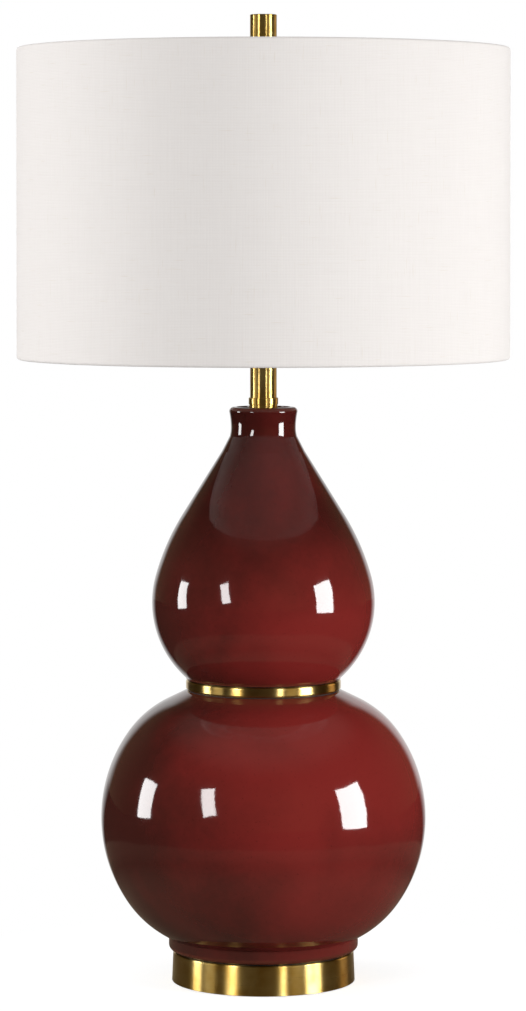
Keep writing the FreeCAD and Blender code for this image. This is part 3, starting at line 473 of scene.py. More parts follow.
@finish
def woven_linen(add, settings):
    """Natural linen in plain weave, glued to its stiff backing: matt off-white with fine crossed
    threads of uneven thickness and an occasional slub."""
    parts = add("SeparateXYZ", [add("UVMap", uv_map="along")]).outputs
    # real threads are 0.5 mm apart; they are drawn 1.25 mm apart so that the weave shows
    pitch = 1.25
    # a thread's thickness changes over 45 mm; slubs, its thick places, are 15 to 40 mm long
    drift, slub_long, slub_wide = 45.45, 22.22, 1.1111

    def threads(across, length, seed):
        """Thread shading: a wave across the threads, each of its own thickness along its length."""
        counted = add("Math", [across, per(pitch)], operation="MULTIPLY")
        slow = add("Math", [length, per(drift)], operation="MULTIPLY")
        where = add("CombineXYZ", [counted, slow, seed])
        uneven = add("TexNoise", {"Vector": where, "Scale": 0.83, "Detail": 3.0, "Roughness": 0.7})
        phase = add("Math", [counted, 2 * pi], operation="MULTIPLY")
        lean = add("Math", [uneven, 3.0, phase], operation="MULTIPLY_ADD")
        wave = add("Math", [lean], operation="SINE")
        half = add("MapRange", {"Value": wave, "From Min": -1.0})
        thick = add("Mix", [0.6, half, uneven])
        patch = add("Math", [length, per(slub_long)], operation="MULTIPLY")
        lone = add("Math", [across, per(slub_wide)], operation="MULTIPLY")
        at = add("CombineXYZ", [lone, patch, seed + 9.0])
        rare = add("TexNoise", {"Vector": at, "Scale": 1.0, "Detail": 1.0})
        return thick, add("ValToRGB", [rare], stops=[(0.68, 0.0), (0.78, 1.0)])

    weft, weft_slub = threads(parts["Y"], parts["X"], 0.0)
    warp, warp_slub = threads(parts["X"], parts["Y"], 5.0)
    cloth = add("Mix", [0.5, weft, warp])
    slubs = add("Math", [weft_slub, warp_slub], operation="MAXIMUM")
    tone = add("ValToRGB", [cloth], stops=[(0.25, 0.0), (0.75, 1.0)])
    base = add("Mix", [tone, settings.linen_shade, settings.linen_light], data_type="RGBA")
    strong = add("Math", [slubs, 0.5], operation="MULTIPLY")
    marked = add("Mix", [strong, base, settings.linen_slub], data_type="RGBA")
    raised = add("Math", [slubs, 0.8, cloth], operation="MULTIPLY_ADD")
    relief = add("Bump", {"Strength": 0.6, "Distance": 0.12 * MM, "Height": raised})
    return {"Base Color": marked, "Roughness": 0.95, "IOR": 1.45, "Normal": relief,
            "Specular IOR Level": 0.25, "Sheen Weight": 0.08, "Sheen Roughness": 0.6}


@finish
def plain_finish(add, low, high, grain, roughness, metallic=0.0, ior=1.5, bump=0.0):
    """A surface of one substance: two tones mixed by noise of the real grain's size, the same
    grain in its roughness and, with bump, its relief, both in millimetres."""
    thin, full = 0.35, 0.65
    place_in = add("TexCoord").outputs["Object"]
    noise = add("TexNoise", {"Vector": place_in, "Scale": per(grain), "Detail": 4.0,
                             "Roughness": 0.6})
    tone = add("ValToRGB", [noise], stops=[(thin, low), (full, high)])
    rough = add("MapRange", {"Value": noise, "From Min": thin, "From Max": full,
                             "To Min": roughness * 1.15, "To Max": roughness * 0.85})
    sockets = {"Base Color": tone, "Roughness": rough, "Metallic": metallic}
    if bump:
        sockets["Normal"] = add("Bump", {"Strength": 1.0, "Distance": bump * MM, "Height": noise})
    if not metallic:
        sockets["IOR"] = ior
    return sockets


# ---------------------------------------------------------------- sizes and colours


def size(name, description, default, low, high):
    """A length that the user may change, in metres."""
    return FloatProperty(name=name, description=description, default=default, min=low, max=high,
                         unit="LENGTH")


def tint(name, description, code):
    """A colour that the user may change."""
    return FloatVectorProperty(name=name, description=description, size=4, subtype="COLOR",
                               default=colour(code))


def power(name, description, default, high=200.0):
    """A light's level that the user may change."""
    return FloatProperty(name=name, description=description, default=default, min=0.0, max=high)


class CeramicSettings(bpy.types.PropertyGroup):
    """Shape and glaze of the two gourds."""

    lower_belly: size("Lower belly radius", "Widest radius of the lower gourd", 0.14245, 0.12, 0.145)
    upper_belly: size("Upper belly radius", "Widest radius of the upper gourd", 0.09775, 0.08, 0.1)
    collar: size("Collar radius", "Narrowest radius under the lip", 0.0285, 0.027, 0.03)
    glaze_red: tint("Glaze", "Colour of the glaze where it lies even", "#752320")
    # the pooled colour is also what the painted shade on the left, under the lamp shade and low down
    # mixes towards
    glaze_deep: tint("Pooled glaze", "Colour where the glaze is thick", "#391814")
    glaze_edge: tint("Thin glaze", "Colour where it runs off an edge", "#5B2A1E")


class BrassSettings(bpy.types.PropertyGroup):
    """Sizes and colours of the brass pieces that show."""

    foot_round: size("Foot edge", "Rounding of the foot's top edge", 0.0014, 0.0005, 0.003)
    finial_edge: size("Finial edge", "Rounding of the finial's edges", 0.0007, 0.0002, 0.002)
    brush_pitch: size("Brush pitch", "Distance between brush rings as drawn", 0.0009, 0.0002, 0.003)
    brass_pale: tint("Brass", "Colour of the metal where it is bare", "#D4BA76")
    brass_warm: tint("Lacquered brass", "Colour under thick lacquer", "#C09C50")


class ShadeSettings(bpy.types.PropertyGroup):
    """Sizes and colours of the drum shade."""

    cloth: size("Cloth", "Thickness of the linen with its glue", 0.0006, 0.0003, 0.001)
    hem_turn_in: size("Hem", "Height of the linen turned in over each ring", 0.011, 0.006, 0.02)
    seam_lap: size("Back seam", "Width of the overlap down the back", 0.012, 0.005, 0.02)
    linen_light: tint("Linen", "Colour of the threads", "#E1DDDA")
    linen_shade: tint("Between threads", "Colour between the threads", "#D7D2CF")
    linen_slub: tint("Slubs", "Colour of the thick places in a thread", "#D2C9BD")


class StageSettings(bpy.types.PropertyGroup):
    """Strength of the studio's soft lights."""

    left_light: power("Left light", "Power of the softbox on the left, in watts", 18.4)
    near_light: power("Near light", "Power of the softbox by the camera, in watts", 19.4)
    right_light: power("Right light", "Power of the softbox on the right, in watts", 37.2)
    strips: power("Strips", "Power of the reflectors for the brass, in watts", 9.5, 100.0)
    fill: power("Fill", "Brightness of the room's own light", 0.58, 1.0)


# ---------------------------------------------------------------- foot


class LAMP_OT_foot(bpy.types.Operator):
    """Builds the brass foot with its felt pad and cord bush"""

    bl_idname = "lamp.foot"
    bl_label = "Foot"

    def execute(self, context):
        brass = context.scene.lamp_brass
        metal = brushed_brass("lathe_brushed_brass", brass, brass.brush_pitch / MM)
        rim, bottom, top = span("foot_shell")
        sheet, taper = 1.5, 1.1
        shoulder = rim - taper
        # cup: tapered wall, rounded top edge, and a hole for the rod
        cup = eased([(ROD_HOLE, top), (shoulder, top), (rim, bottom), (rim - sheet, bottom),
                     (shoulder - sheet, top - sheet), (ROD_HOLE, top - sheet)],
                    [0.2, brass.foot_round / MM, 0.35, 0.3, 0.6, 0.2], steps=7)
        low, high = box_mm("cord_bushing")
        middle = (low[2] + high[2]) / 2
        bush_r, inside, through = 4.2, 60, 40
        shell = bored(turned(cup, 256), bush_r, (0, inside, middle), (0, 1, 0), through)
        place("foot_cup", shell, metal, "base", "brass", "foot_shell")

        felt = plain_finish("pressed_wool_felt", "#1D1C1B", "#34322F", 1.11, 0.95, ior=1.45,
                            bump=0.4)
        r, bottom, top = span("base_pad")
        pad = eased([(0, bottom), (r, bottom), (r, top), (0, top)], 0.5, closed=False)
        place("felt_pad", turned(pad, 160, closed=False), felt, "base", "felt", "base_pad")

        nylon = plain_finish("moulded_nylon_black", "#161616", "#232322", 2.5, 0.42, ior=1.53,
                             bump=0.01)
        cord_r, flange = 3.1, 1.6
        bush = flanged(cord_r, bush_r, (high[2] - low[2]) / 2, low[1], high[1], flange,
                       [0.2, 0.3, 0.1, 0.25, 0.7, 0.8], steps=6)
        place("cord_bush", turned(bush, 64, (0, 0, middle), (0, 1, 0)), nylon, "base",
              "bush_plastic", "cord_bushing")
        return {"FINISHED"}


# ---------------------------------------------------------------- ceramic


def tangent_centres(belly_r, belly_z, radii, below, above):
    """Centres of a gourd's under, belly and shoulder arcs of the given radii: the outer two run
    on from the belly arc at its angles below and above."""
    under, side, shoulder = radii
    belly = (belly_r - side, belly_z)
    return polar(belly, side - under, below), belly, polar(belly, side - shoulder, above)


def gourd_side(centres, radii, angles, counts):
    """The arcs of a gourd's side: the one round centre k runs from angle k to angle k + 1."""
    return [arc(*each) for each in zip(centres, radii, angles, angles[1:], counts)]


def glazed(outline, sides, thin_at):
    """A turned gourd with its own attribute thin, which is 1 at each point (r, z) of thin_at and
    falls to 0 over the third number there, in millimetres."""
    # glaze softens bends of fewer degrees than this
    mesh = surface(round_grid(held(outline), sides), along=True, crease=55)
    x, y, z = read(mesh.vertices, "co", np.float32, 3).reshape(-1, 3).T / MM
    spot = np.column_stack((np.hypot(x, y), z))
    marks = np.array(thin_at, float)
    far = np.linalg.norm(spot[:, None] - marks[None, :, :2], axis=2)
    thin = np.clip(1 - far / marks[None, :, 2], 0, 1).max(1)
    mesh.attributes.new("thin", "FLOAT", "POINT").data.foreach_set("value", thin.astype(np.float32))
    return mesh


class LAMP_OT_gourds(bpy.types.Operator):
    """Builds the two glazed gourds as turned shells on tangent arcs"""

    bl_idname = "lamp.gourds"
    bl_label = "Gourds"

    def execute(self, context):
        ceramic = context.scene.lamp_ceramic
        glaze = oxblood_glaze("fired_oxblood_glaze", ceramic)
        place("gourd_lower", self.lower(ceramic), glaze, "base", "glaze", "lower_gourd")
        place("gourd_upper", self.upper(ceramic), glaze, "base", "glaze", "upper_gourd")
        return {"FINISHED"}

    def lower(self, ceramic):
        """Outside: foot ring, under arc, belly arc, shoulder arc, straight shoulder, lip. Inside:
        the same arcs a wall's thickness in, and a floor with a recess and a hole for the rod."""
        _, foot_z, lip_z = span("lower_gourd")
        wall, belly_height = 6.5, 116.2
        radii = np.array((92.7, 128.3, 88.8))
        below, above, straight = -35.8, 35.2, 64.0
        centres = tangent_centres(ceramic.lower_belly / MM, foot_z + belly_height, radii, below,
                                  above)
        under, _, shoulder = centres

        foot_r, foot_round, foot_wall = 83.1, 4.6, 12.0
        foot_angle = -degrees(np.arccos((foot_r - under[0]) / radii[0]))
        end = polar(shoulder, radii[2], straight)
        lip_r = end[0] - (lip_z - end[1]) * np.tan(radians(straight))
        mouth_r, mouth_depth, lip_edge = 57.5, 7.0, 1.2
        outside = joined(
            arc((foot_r - foot_round, foot_z + foot_round), foot_round, -90, 0, 12),
            *gourd_side(centres, radii, (foot_angle, below, above, straight), (30, 80, 30)),
            eased([end, (lip_r, lip_z), (mouth_r, lip_z)], lip_edge, closed=False))

        hole_r, recess, floor = 8.0, 5.0, 12.0
        mouth_angle, floor_angle = 60.0, -62.0
        inside = joined(
            (mouth_r, lip_z - mouth_depth),
            *gourd_side(centres[::-1], radii[::-1] - wall, (mouth_angle, above, below, floor_angle),
                        (12, 30, 12)),
            (hole_r, foot_z + floor), (hole_r, foot_z + recess),
            (foot_r - foot_wall, foot_z + recess), (foot_r - foot_wall, foot_z))
        return glazed(joined(outside, inside), 288, [
            (foot_r, foot_z + 2.5, 2.2), (foot_r - 1.5, foot_z, 3.5), (lip_r, lip_z, 3.0)])

    def upper(self, ceramic):
        """Outside: foot edge, under arc, belly arc, long shoulder arc, straight neck, cove, flare
        and rolled lip round a seat for the neck. Inside: the same arcs a wall's thickness in."""
        _, foot_z, top_z = span("upper_gourd")
        wall, belly_height = 5.5, 67.3
        radii = np.array((89.15, 87.7, 206.4))
        below, above, straight = -24.8, 15.6, 32.0
        centres = tangent_centres(ceramic.upper_belly / MM, foot_z + belly_height, radii, below,
                                  above)
        under = centres[0]

        foot_round = 1.5
        foot_angle = degrees(np.arcsin((foot_z + foot_round - under[1]) / radii[0]))
        foot_r = polar(under, radii[0], foot_angle)[0]
        collar, collar_z = ceramic.collar / MM, top_z - 18.3
        cove, flare, lip = 28.0, 67.0, 4.0
        rise = 180 - degrees(np.arcsin((top_z - lip - collar_z) / flare))
        flare_at = (collar + flare, collar_z)
        lip_r = polar(flare_at, flare, rise)[0]
        seat_r, seat_edge, seat_z = lip_r - lip - 2.6, 0.6, top_z - 3.2
        hole_r, collar_wall, ceiling_z = 12.6, 6.5, top_z - 11.2
        outside = joined(
            arc((foot_r - foot_round, foot_z + foot_round), foot_round, -90, 0, 7),
            *gourd_side(centres, radii, (foot_angle, below, above, straight), (30, 40, 34)),
            arc((collar + cove, collar_z), cove, 180 + straight, 180.0, 16),
            arc(flare_at, flare, 180.0, rise, 10),
            arc((lip_r - lip, top_z - lip), lip, 0, 90, 12),
            eased([(seat_r + seat_edge, top_z), (seat_r, top_z), (seat_r, seat_z),
                   (hole_r, seat_z)], 0.8, closed=False))

        mouth_r, mouth_depth, ceiling_angle, mouth_angle = 54.5, 5.5, 31.0, -40.0
        inside = joined(
            (hole_r, ceiling_z), (collar - collar_wall, ceiling_z),
            *gourd_side(centres[::-1], radii[::-1] - wall,
                        (ceiling_angle, above, below, mouth_angle), (14, 16, 10)),
            (mouth_r, foot_z + mouth_depth), (mouth_r, foot_z))
        return glazed(joined(outside, inside), 256, [
            (foot_r, foot_z + 0.8, 2.2), (lip_r - 1.5, top_z - 1.0, 3.0), (seat_r, top_z, 2.0)])


# ---------------------------------------------------------------- waist and neck


class LAMP_OT_brass_stack(bpy.types.Operator):
    """Builds the waist ring, neck cap, seat ring, neck tube, its plug and the finial"""

    bl_idname = "lamp.brass_stack"
    bl_label = "Waist, neck and finial"

    def execute(self, context):
        brass = context.scene.lamp_brass
        metal = brushed_brass("lathe_brushed_brass", brass, brass.brush_pitch / MM)
        r, low, high = span("waist_ring")
        lip, web, wall, lower_r, upper_r = 6.0, 1.2, 2.0, 57.1, 54.1
        bottom, top, middle = low + lip, high - lip, (low + high) / 2
        top_round, bottom_round = 1.7, 0.5
        # a band between two spigots, with a web inside it that the rod passes through
        band = joined(
            (ROD_HOLE, middle - web), (lower_r - wall, middle - web), (lower_r - wall, low),
            (lower_r, low), (lower_r, bottom), (r - 1.7, bottom), (r - 0.4, bottom + 1.2),
            arc((r - bottom_round, bottom + 1.7), bottom_round, -30, 0, 4),
            arc((r - top_round, top - top_round), top_round, 0, 90, 9),
            (upper_r, top), (upper_r, high), (upper_r - wall, high),
            (upper_r - wall, middle + web), (ROD_HOLE, middle + web))
        place("waist_band", turned(band, 256), metal, "base", "brass", "waist_ring")

        spigot, flange = 12.2, 1.6
        cap = flanged(ROD_HOLE, spigot, *span("neck_cap"), flange, [0.2, 0.2, 0.1, 0.2, 0.5, 0.2])
        place("neck_washer", turned(cap, 128), metal, "base", "brass", "neck_cap")

        r, low, high = span("seat_ring")
        spigot, step, cup_r, cup_depth = 12.4, low + 3.9, 11.75, 3.0
        seat = eased([(ROD_HOLE, low), (spigot, low), (spigot, step), (r, step), (r, high),
                      (cup_r, high), (cup_r, high - cup_depth), (ROD_HOLE, high - cup_depth)],
                     [0.2, 0.3, 0.12, 0.25, 0.6, 0.3, 0.2, 0.2])
        place("neck_seat", turned(seat, 128), metal, "base", "brass", "seat_ring")

        r, low, high = span("neck_tube")
        wall = 1
        place("neck_pipe", turned(plate(r - wall, r, low, high, 0.25), 128), metal, "base",
              "brass", "neck_tube")

        spigot, flange = 10.65, 2.0
        plug = flanged(ROD_HOLE, spigot, *span("neck_plug"), flange, 0.3)
        place("neck_stopper", turned(plug, 96), metal, "base", "brass", "neck_plug")
        self.finial(brass.finial_edge / MM, metal)
        return {"FINISHED"}

    def finial(self, edge, metal):
        """The finial: a cylinder over a short waisted foot, hollow below for its insert."""
        r, low, top = span("finial")
        insert_r, stud_r, shoulder = 5.0, 3.5, low + 5.0
        insert_top, hollow_top = low + 9.3, low + 12.3
        knob = joined(
            (0, hollow_top), (stud_r, hollow_top), (stud_r, insert_top), (insert_r, insert_top),
            (insert_r, low + 0.1), (insert_r, low), (6.9, low), (7.3, low + 0.3),
            (7.4, low + 0.8), (7.4, shoulder - 0.3), (7.6, shoulder), (r - edge, shoulder),
            arc((r - edge, shoulder + edge), edge, -90, 0, 6),
            arc((r - edge, top - edge), edge, 0, 90, 6),
            (0, top))
        place("finial_knob", turned(knob, 128, closed=False), metal, "finial_knob", "brass",
              "finial")
        dress(metal, "finial_insert")


# ---------------------------------------------------------------- shade


class LAMP_OT_shade(bpy.types.Operator):
    """Builds the linen drum with rolled hems and back seam, its liner and its two wire rings"""

    bl_idname = "lamp.shade"
    bl_label = "Shade"

    def execute(self, context):
        shade = context.scene.lamp_shade
        r, bottom, top = span("shade_cover")
        pocket, liner = WIRE_R + 0.1, 0.5
        hem = pocket + shade.cloth / MM
        ring_r, low_z, high_z = r - hem, bottom + hem, top - hem
        linen = woven_linen("plain_woven_linen", shade)
        cover = place("linen_cover", self.cover(shade, r, pocket, low_z, high_z, liner), linen,
                      "shade", "linen", "shade_cover")

        styrene = plain_finish("cut_styrene_sheet", "#E9E7E1", "#F0EEE9", 16.67, 0.38, ior=1.57)
        r, low, high = span("shade_liner")
        place("styrene_liner", turned(plate(r - liner, r, low, high, 0.1, steps=3), 256), styrene,
              "shade", "liner", "shade_liner")
        paint = plain_finish("powder_coated_wire", "#D9D8D3", "#E4E3DF", 1.43, 0.45, bump=0.02)
        place("ring_wire_bottom", self.ring(ring_r, low_z), paint, "shade", "ring_paint",
              "bottom_ring")
        place("spider", self.spider(ring_r, high_z), paint, "shade", "ring_paint", "spider_ring")
        return {"FINISHED"}

    def cover(self, shade, r, pocket, low_z, high_z, liner):
        """The linen: up the outside, over each ring wire at low_z and high_z in a round pocket,
        and in against the liner to a free edge."""
        cloth, turn_in = shade.cloth / MM, shade.hem_turn_in / MM
        hem = pocket + cloth
        ring_r = r - hem
        outer_flap = r - cloth - liner - 0.15
        flap = outer_flap - cloth
        outside = joined(
            (flap, low_z + turn_in), (flap, low_z + 3.0),
            arc((ring_r, low_z), hem, 180, 360, 18),
            np.column_stack((np.full(60, r), np.linspace(low_z + 2, high_z - 2, 60))),
            arc((ring_r, high_z), hem, 0, 180, 18),
            (flap, high_z - 3.0), (flap, high_z - turn_in))
        inside = joined(
            (outer_flap, high_z - turn_in), (outer_flap, high_z - 1.5),
            arc((ring_r, high_z), pocket, 140, 0, 12),
            (r - cloth, high_z - 2), (r - cloth, low_z + 2),
            arc((ring_r, low_z), pocket, 0, -140, 12),
            (outer_flap, low_z + 1.5), (outer_flap, low_z + turn_in))
        outline, sides = joined(outside, inside), 360
        grid = round_grid(outline, sides)
        # back seam: the cloth laps itself by the width of the seam, 0.35 mm proud, and runs out in
        # a step down at its free edge; angles in radians from the back
        off = (np.linspace(0, 2 * pi, sides, endpoint=False) + pi / 2) % (2 * pi) - pi
        lap = shade.seam_lap / MM / r
        rise, fall = (np.clip((off + way * lap / 2) / run_out, 0, 1)
                      for way, run_out in ((1, 0.004), (-1, 0.012)))
        proud = 0.35 * (rise - fall)
        away = grid / np.maximum(np.linalg.norm(grid[..., :2], axis=2, keepdims=True), 1e-6)
        away[..., 2] = 0
        is_out = np.arange(len(outline)) < len(outside)
        grid = grid + away * (is_out[:, None] * proud[None, :])[..., None]
        # the weave's uv, in metres: round the drum, and along the outline
        around = np.linspace(0, 2 * pi * r, sides + 1)
        along = lengths(np.vstack((outline, outline[:1])))
        uv = np.stack(np.broadcast_arrays(around[None, :] * MM, along[:, None] * MM), -1)
        return surface(grid, along=True, uv=uv)

    def ring(self, radius, height):
        """A wire bent to a ring; its section's last side closes a circle of 20 points."""
        last = 345
        return turned(arc((radius, height), WIRE_R, 0, last, 20), 256)

    def spider(self, ring_r, ring_z):
        """Top ring, three arms bent up from the flat hub, and the hub: one welded piece. An arm's
        path is the hub point, the bend and the ring point, eased at the bend."""
        _, finial_z, _ = span("finial")
        hub_top, hub, hole_r, hub_r = finial_z - 0.1, 1.6, 3.15, 12.5
        middle = hub_top - hub / 2
        arm_r, start, bend, weld, steps = 1.7, 10.5, 26.0, 0.6, 40
        parts = [self.ring(ring_r, ring_z),
                 turned(plate(hole_r, hub_r, hub_top - hub, hub_top, 0.25), 96)]
        path = eased([(start, middle), (bend, middle), (ring_r - weld, ring_z)], 9.0, 12,
                     closed=False)
        reach = lengths(path)
        even = np.linspace(0, 1, steps) * reach[-1]
        out, up = (np.interp(even, reach, path[:, k])[:, None] for k in (0, 1))
        for angle in (90.0, 210.0, 330.0):
            heading = np.array((cos(radians(angle)), sin(radians(angle)), 0))
            line = out * heading + up * np.array((0, 0, 1))
            square = (-heading[1], heading[0], 0)
            parts.append(surface(capped(pipe_grid(line, arm_r, square))))
        return merged(*parts)


# ---------------------------------------------------------------- harp


class LAMP_OT_harp(bpy.types.Operator):
    """Builds the harp, the two lock sleeves and the swivel stud, and finishes the steel parts"""

    bl_idname = "lamp.harp"
    bl_label = "Harp"

    def execute(self, context):
        bright = brushed_brass("drawn_brass_wire", context.scene.lamp_brass, FINE_BRUSH)
        place("harp_bow", self.bow(), bright, "harp", "harp_brass", "harp")

        bore, thick, thin = 2.05, 3.35, 3.0
        for side in ("left", "right"):
            low, high = box_mm("lock_sleeve_" + side)
            z, top = low[2], high[2]
            sleeve = eased([(bore, z), (thick, z), (thick, z + 2.2), (thin, z + 2.8),
                            (thin, top - 1.6), (thick, top - 1.0), (thick, top), (bore, top)], 0.2)
            leg = (low[0] + high[0]) / 2
            place("harp_sleeve_" + side, turned(sleeve, 48, (leg, 0, 0)), bright,
                  "sleeve_" + side, "harp_brass", "lock_sleeve_" + side)

        # stud: a foot under the harp's crown, a neck, the flange that carries the shade's hub,
        # and above it the thread, a wave of one pitch a turn
        _, z, top = span("swivel_stud")
        seat, neck_r, flange_r, foot_r, thread_r, bevel = z + 10.0, 3.2, 8.4, 4.8, 3.0, 0.3
        flange, foot_top, pitch = seat - 2.0, z + 1.8, 0.94
        height = np.linspace(seat, top - 0.4, 60)
        thread = thread_r + 0.1 * np.cos(2 * pi * (height - seat) / pitch)
        stud = joined((0, z), (foot_r - bevel, z), (foot_r, z + bevel), (foot_r, foot_top),
                      (neck_r, foot_top), (neck_r, flange), (flange_r - bevel, flange),
                      (flange_r, flange + bevel), (flange_r, seat - bevel),
                      (flange_r - bevel, seat), np.column_stack((thread, height)),
                      (thread_r - bevel, top), (0, top))
        place("stud", turned(stud, 64, closed=False), bright, "shade", "harp_brass", "swivel_stud")

        zinc = plain_finish("zinc_plated_steel", "#9A9C9C", "#C6C8C7", 3.85, 0.3, metallic=1.0,
                            bump=0.01)
        dress(bright, "harp_saddle")
        dress(zinc, "rod", "clamp_washer", "lock_washer", "bottom_nut", "harp_nut", "set_screw",
              "terminal_screws")
        return {"FINISHED"}

    def bow(self):
        """The harp's wire and its crown. The wire runs up each leg, bends out by the lean and
        back to the upright side, closes in on the side arc, and over the top on the crown arc."""
        _, foot_z, top = span("harp")
        wire_r, half, wide, bend, lean, leg = 2.0, 24.0, 50.0, 30.0, 30.0, 21.0
        start = (half + bend, foot_z + leg)
        leaving = polar(start, bend, 180 - lean)
        spread = wide - half - 2 * bend * (1 - cos(radians(lean)))
        joining = (leaving[0] + spread, leaving[1] + spread / np.tan(radians(lean)))
        side_arc, side_angle, belly_z, crown_end = 110.0, 40.0, foot_z + 113.15, 84
        side_x = wide - side_arc
        crown_arc = side_arc + side_x / cos(radians(side_angle))
        crown = (0, belly_z + (side_arc - crown_arc) * sin(radians(side_angle)))
        right = joined(
            (half, foot_z), (half, foot_z + leg),
            arc(start, bend, 180, 180 - lean, 12), joining,
            arc((wide - bend, joining[1] + bend * sin(radians(lean))), bend, -lean, 0, 12),
            (wide, belly_z),
            arc((side_x, belly_z), side_arc, 0, side_angle, 24),
            arc(crown, crown_arc, side_angle, crown_end, 24))
        path = np.vstack((right, right[::-1] * (-1, 1)))
        line = np.insert(path, 1, 0, axis=1)
        wire = surface(capped(pipe_grid(line, wire_r, (0, 1, 0), 24)))
        hole_r, eye_r, eye = 3.25, 6.4, 6
        return merged(wire, turned(plate(hole_r, eye_r, top - eye, top, 0.5), 64))


# ---------------------------------------------------------------- holder and bulb


class LAMP_OT_holder(bpy.types.Operator):
    """Builds the lamp holder's shell, and finishes its other parts, the weight and the seals"""

    bl_idname = "lamp.holder"
    bl_label = "Lamp holder"

    def execute(self, context):
        brass = context.scene.lamp_brass
        spun = brushed_brass("spun_holder_brass", brass, FINE_BRUSH)
        roll, wall, rib = 0.9, 0.6, 0.25
        widest, z, top = span("socket_shell")
        r = widest - roll
        ribs = [(r + out, at + rise) for at in (z + 6.5, top - 8.5)
                for out, rise in ((0, -0.5), (rib, 0), (0, 0.5))]
        shell = joined(
            (r - wall, z), (r, z), *ribs, (r, top - 2 * roll),
            arc((r, top - roll), roll, -90, 90, 9), (r - wall, top))
        low, high = box_mm("switch_shaft")
        spindle_r, inside, through = 3.0, -8, 20
        mesh = bored(turned(shell, 128), spindle_r, (0, inside, (low[2] + high[2]) / 2), (0, -1, 0),
                     through)
        place("holder_shell", mesh, spun, "base", "holder_brass", "socket_shell")
        dress(spun, "socket_cap", "centre_contact", "screw_shell")
        dress(brushed_brass("turned_switch_brass", brass, FINE_BRUSH, "Y"), "switch_shaft",
              "switch_knob")
        dress(plain_finish("vulcanised_fibre_card", "#6A5A46", "#8A7A62", 3.33, 0.8, bump=0.02),
              "socket_card")
        dress(plain_finish("moulded_phenolic", "#1B1512", "#2A201B", 2.0, 0.35, ior=1.6, bump=0.01),
              "socket_body")
        dress(plain_finish("sand_cast_iron", "#2A2927", "#45433F", 2.38, 0.75, metallic=0.8,
                           bump=0.2), "foot_weight")
        dress(plain_finish("moulded_seal_rubber", "#17171A", "#232326", 2.86, 0.7, ior=1.52,
                           bump=0.02), "foot_seal", "waist_seal_lower", "waist_seal_upper")
        return {"FINISHED"}


class LAMP_OT_bulb(bpy.types.Operator):
    """Builds the frosted bulb and its threaded cap, and finishes its contact"""

    bl_idname = "lamp.bulb"
    bl_label = "Bulb"

    def execute(self, context):
        _, low, cap_top = span("bulb_cap")
        _, stem_z, top = span("bulb_envelope")
        glass = plain_finish("frosted_bulb_glass", "#EDEDEA", "#F6F6F4", 11.11, 0.28, ior=1.52)
        # a ball, a hollow arc tangent to it and to the neck, and a stem inside the cap
        stem_r, r, neck, hollow = 12.6, 30.0, 15.2, 34.0
        drop = np.sqrt((r + hollow) ** 2 - (neck + hollow) ** 2)
        meet = -degrees(np.arcsin(drop / (r + hollow)))
        curve = (neck + hollow, top - r - drop)
        outline = joined(
            (0, stem_z), (stem_r, stem_z), (stem_r, cap_top + 0.1), (neck, cap_top + 2.7),
            (neck, curve[1]), arc(curve, hollow, 180, 180 + meet, 16),
            arc((0, top - r), r, meet, 90, 48))
        place("bulb_glass", turned(outline, 128, closed=False), glass, "bulb", "bulb_glass",
              "bulb_envelope")

        # thread: radius r(z, t) = 12.6 + 0.5 cos(2 pi z / 3.63 - t), with the wave faded out at
        # its ends
        thread_r, depth, pitch, sides = 12.6, 0.5, 3.63, 96
        z = np.linspace(low + 3.0, cap_top, 140)
        t = np.linspace(0, 2 * pi, sides, endpoint=False)
        fade = np.clip((z - z[0]) / 2.5, 0, 1) * np.clip((z[-1] - z) / 3.0, 0, 1)
        wave = thread_r + depth * np.cos(2 * pi * z[:, None] / pitch - t) * fade[:, None]
        thread = np.stack((wave * np.cos(t), wave * np.sin(t),
                           np.broadcast_to(z[:, None], wave.shape)), -1)
        end = round_grid([(0, low), (9.0, low), (11.6, low + 1.8)], sides)
        lid = round_grid([(12.1, cap_top), (0, cap_top)], sides)
        aluminium = plain_finish("pressed_aluminium_cap", "#B9BBBC", "#D4D6D6", 3.33, 0.32,
                                 metallic=1.0, bump=0.01)
        place("bulb_screw_cap", surface(np.concatenate((end, thread, lid))), aluminium, "bulb",
              "bulb_metal", "bulb_cap")
        dress(aluminium, "bulb_contact")
        dress(plain_finish("fused_black_glass", "#0D0D0E", "#19191B", 5.0, 0.15, ior=1.6),
              "bulb_insulator")
        return {"FINISHED"}


# ---------------------------------------------------------------- stage


def soft_light(name, place_at, wide, high, watts, aim_z, tip=0.0):
    """An area light of wide by high metres that faces a height on the lamp's axis, tipped on its
    stand by some degrees. The camera doesn't see it."""
    light = bpy.data.lights.new(name, "AREA")
    light.shape = "RECTANGLE"
    light.size, light.size_y, light.energy = wide, high, watts
    stand = bpy.data.objects.new(name, light)
    stand.location = place_at
    aim = Vector((0, 0, aim_z)) - stand.location
    facing = aim.to_track_quat("-Z", "Y") @ Quaternion((0, 0, 1), radians(tip))
    stand.rotation_euler = facing.to_euler()
    stand.visible_camera = False
    bpy.context.scene.collection.objects.link(stand)
    return stand


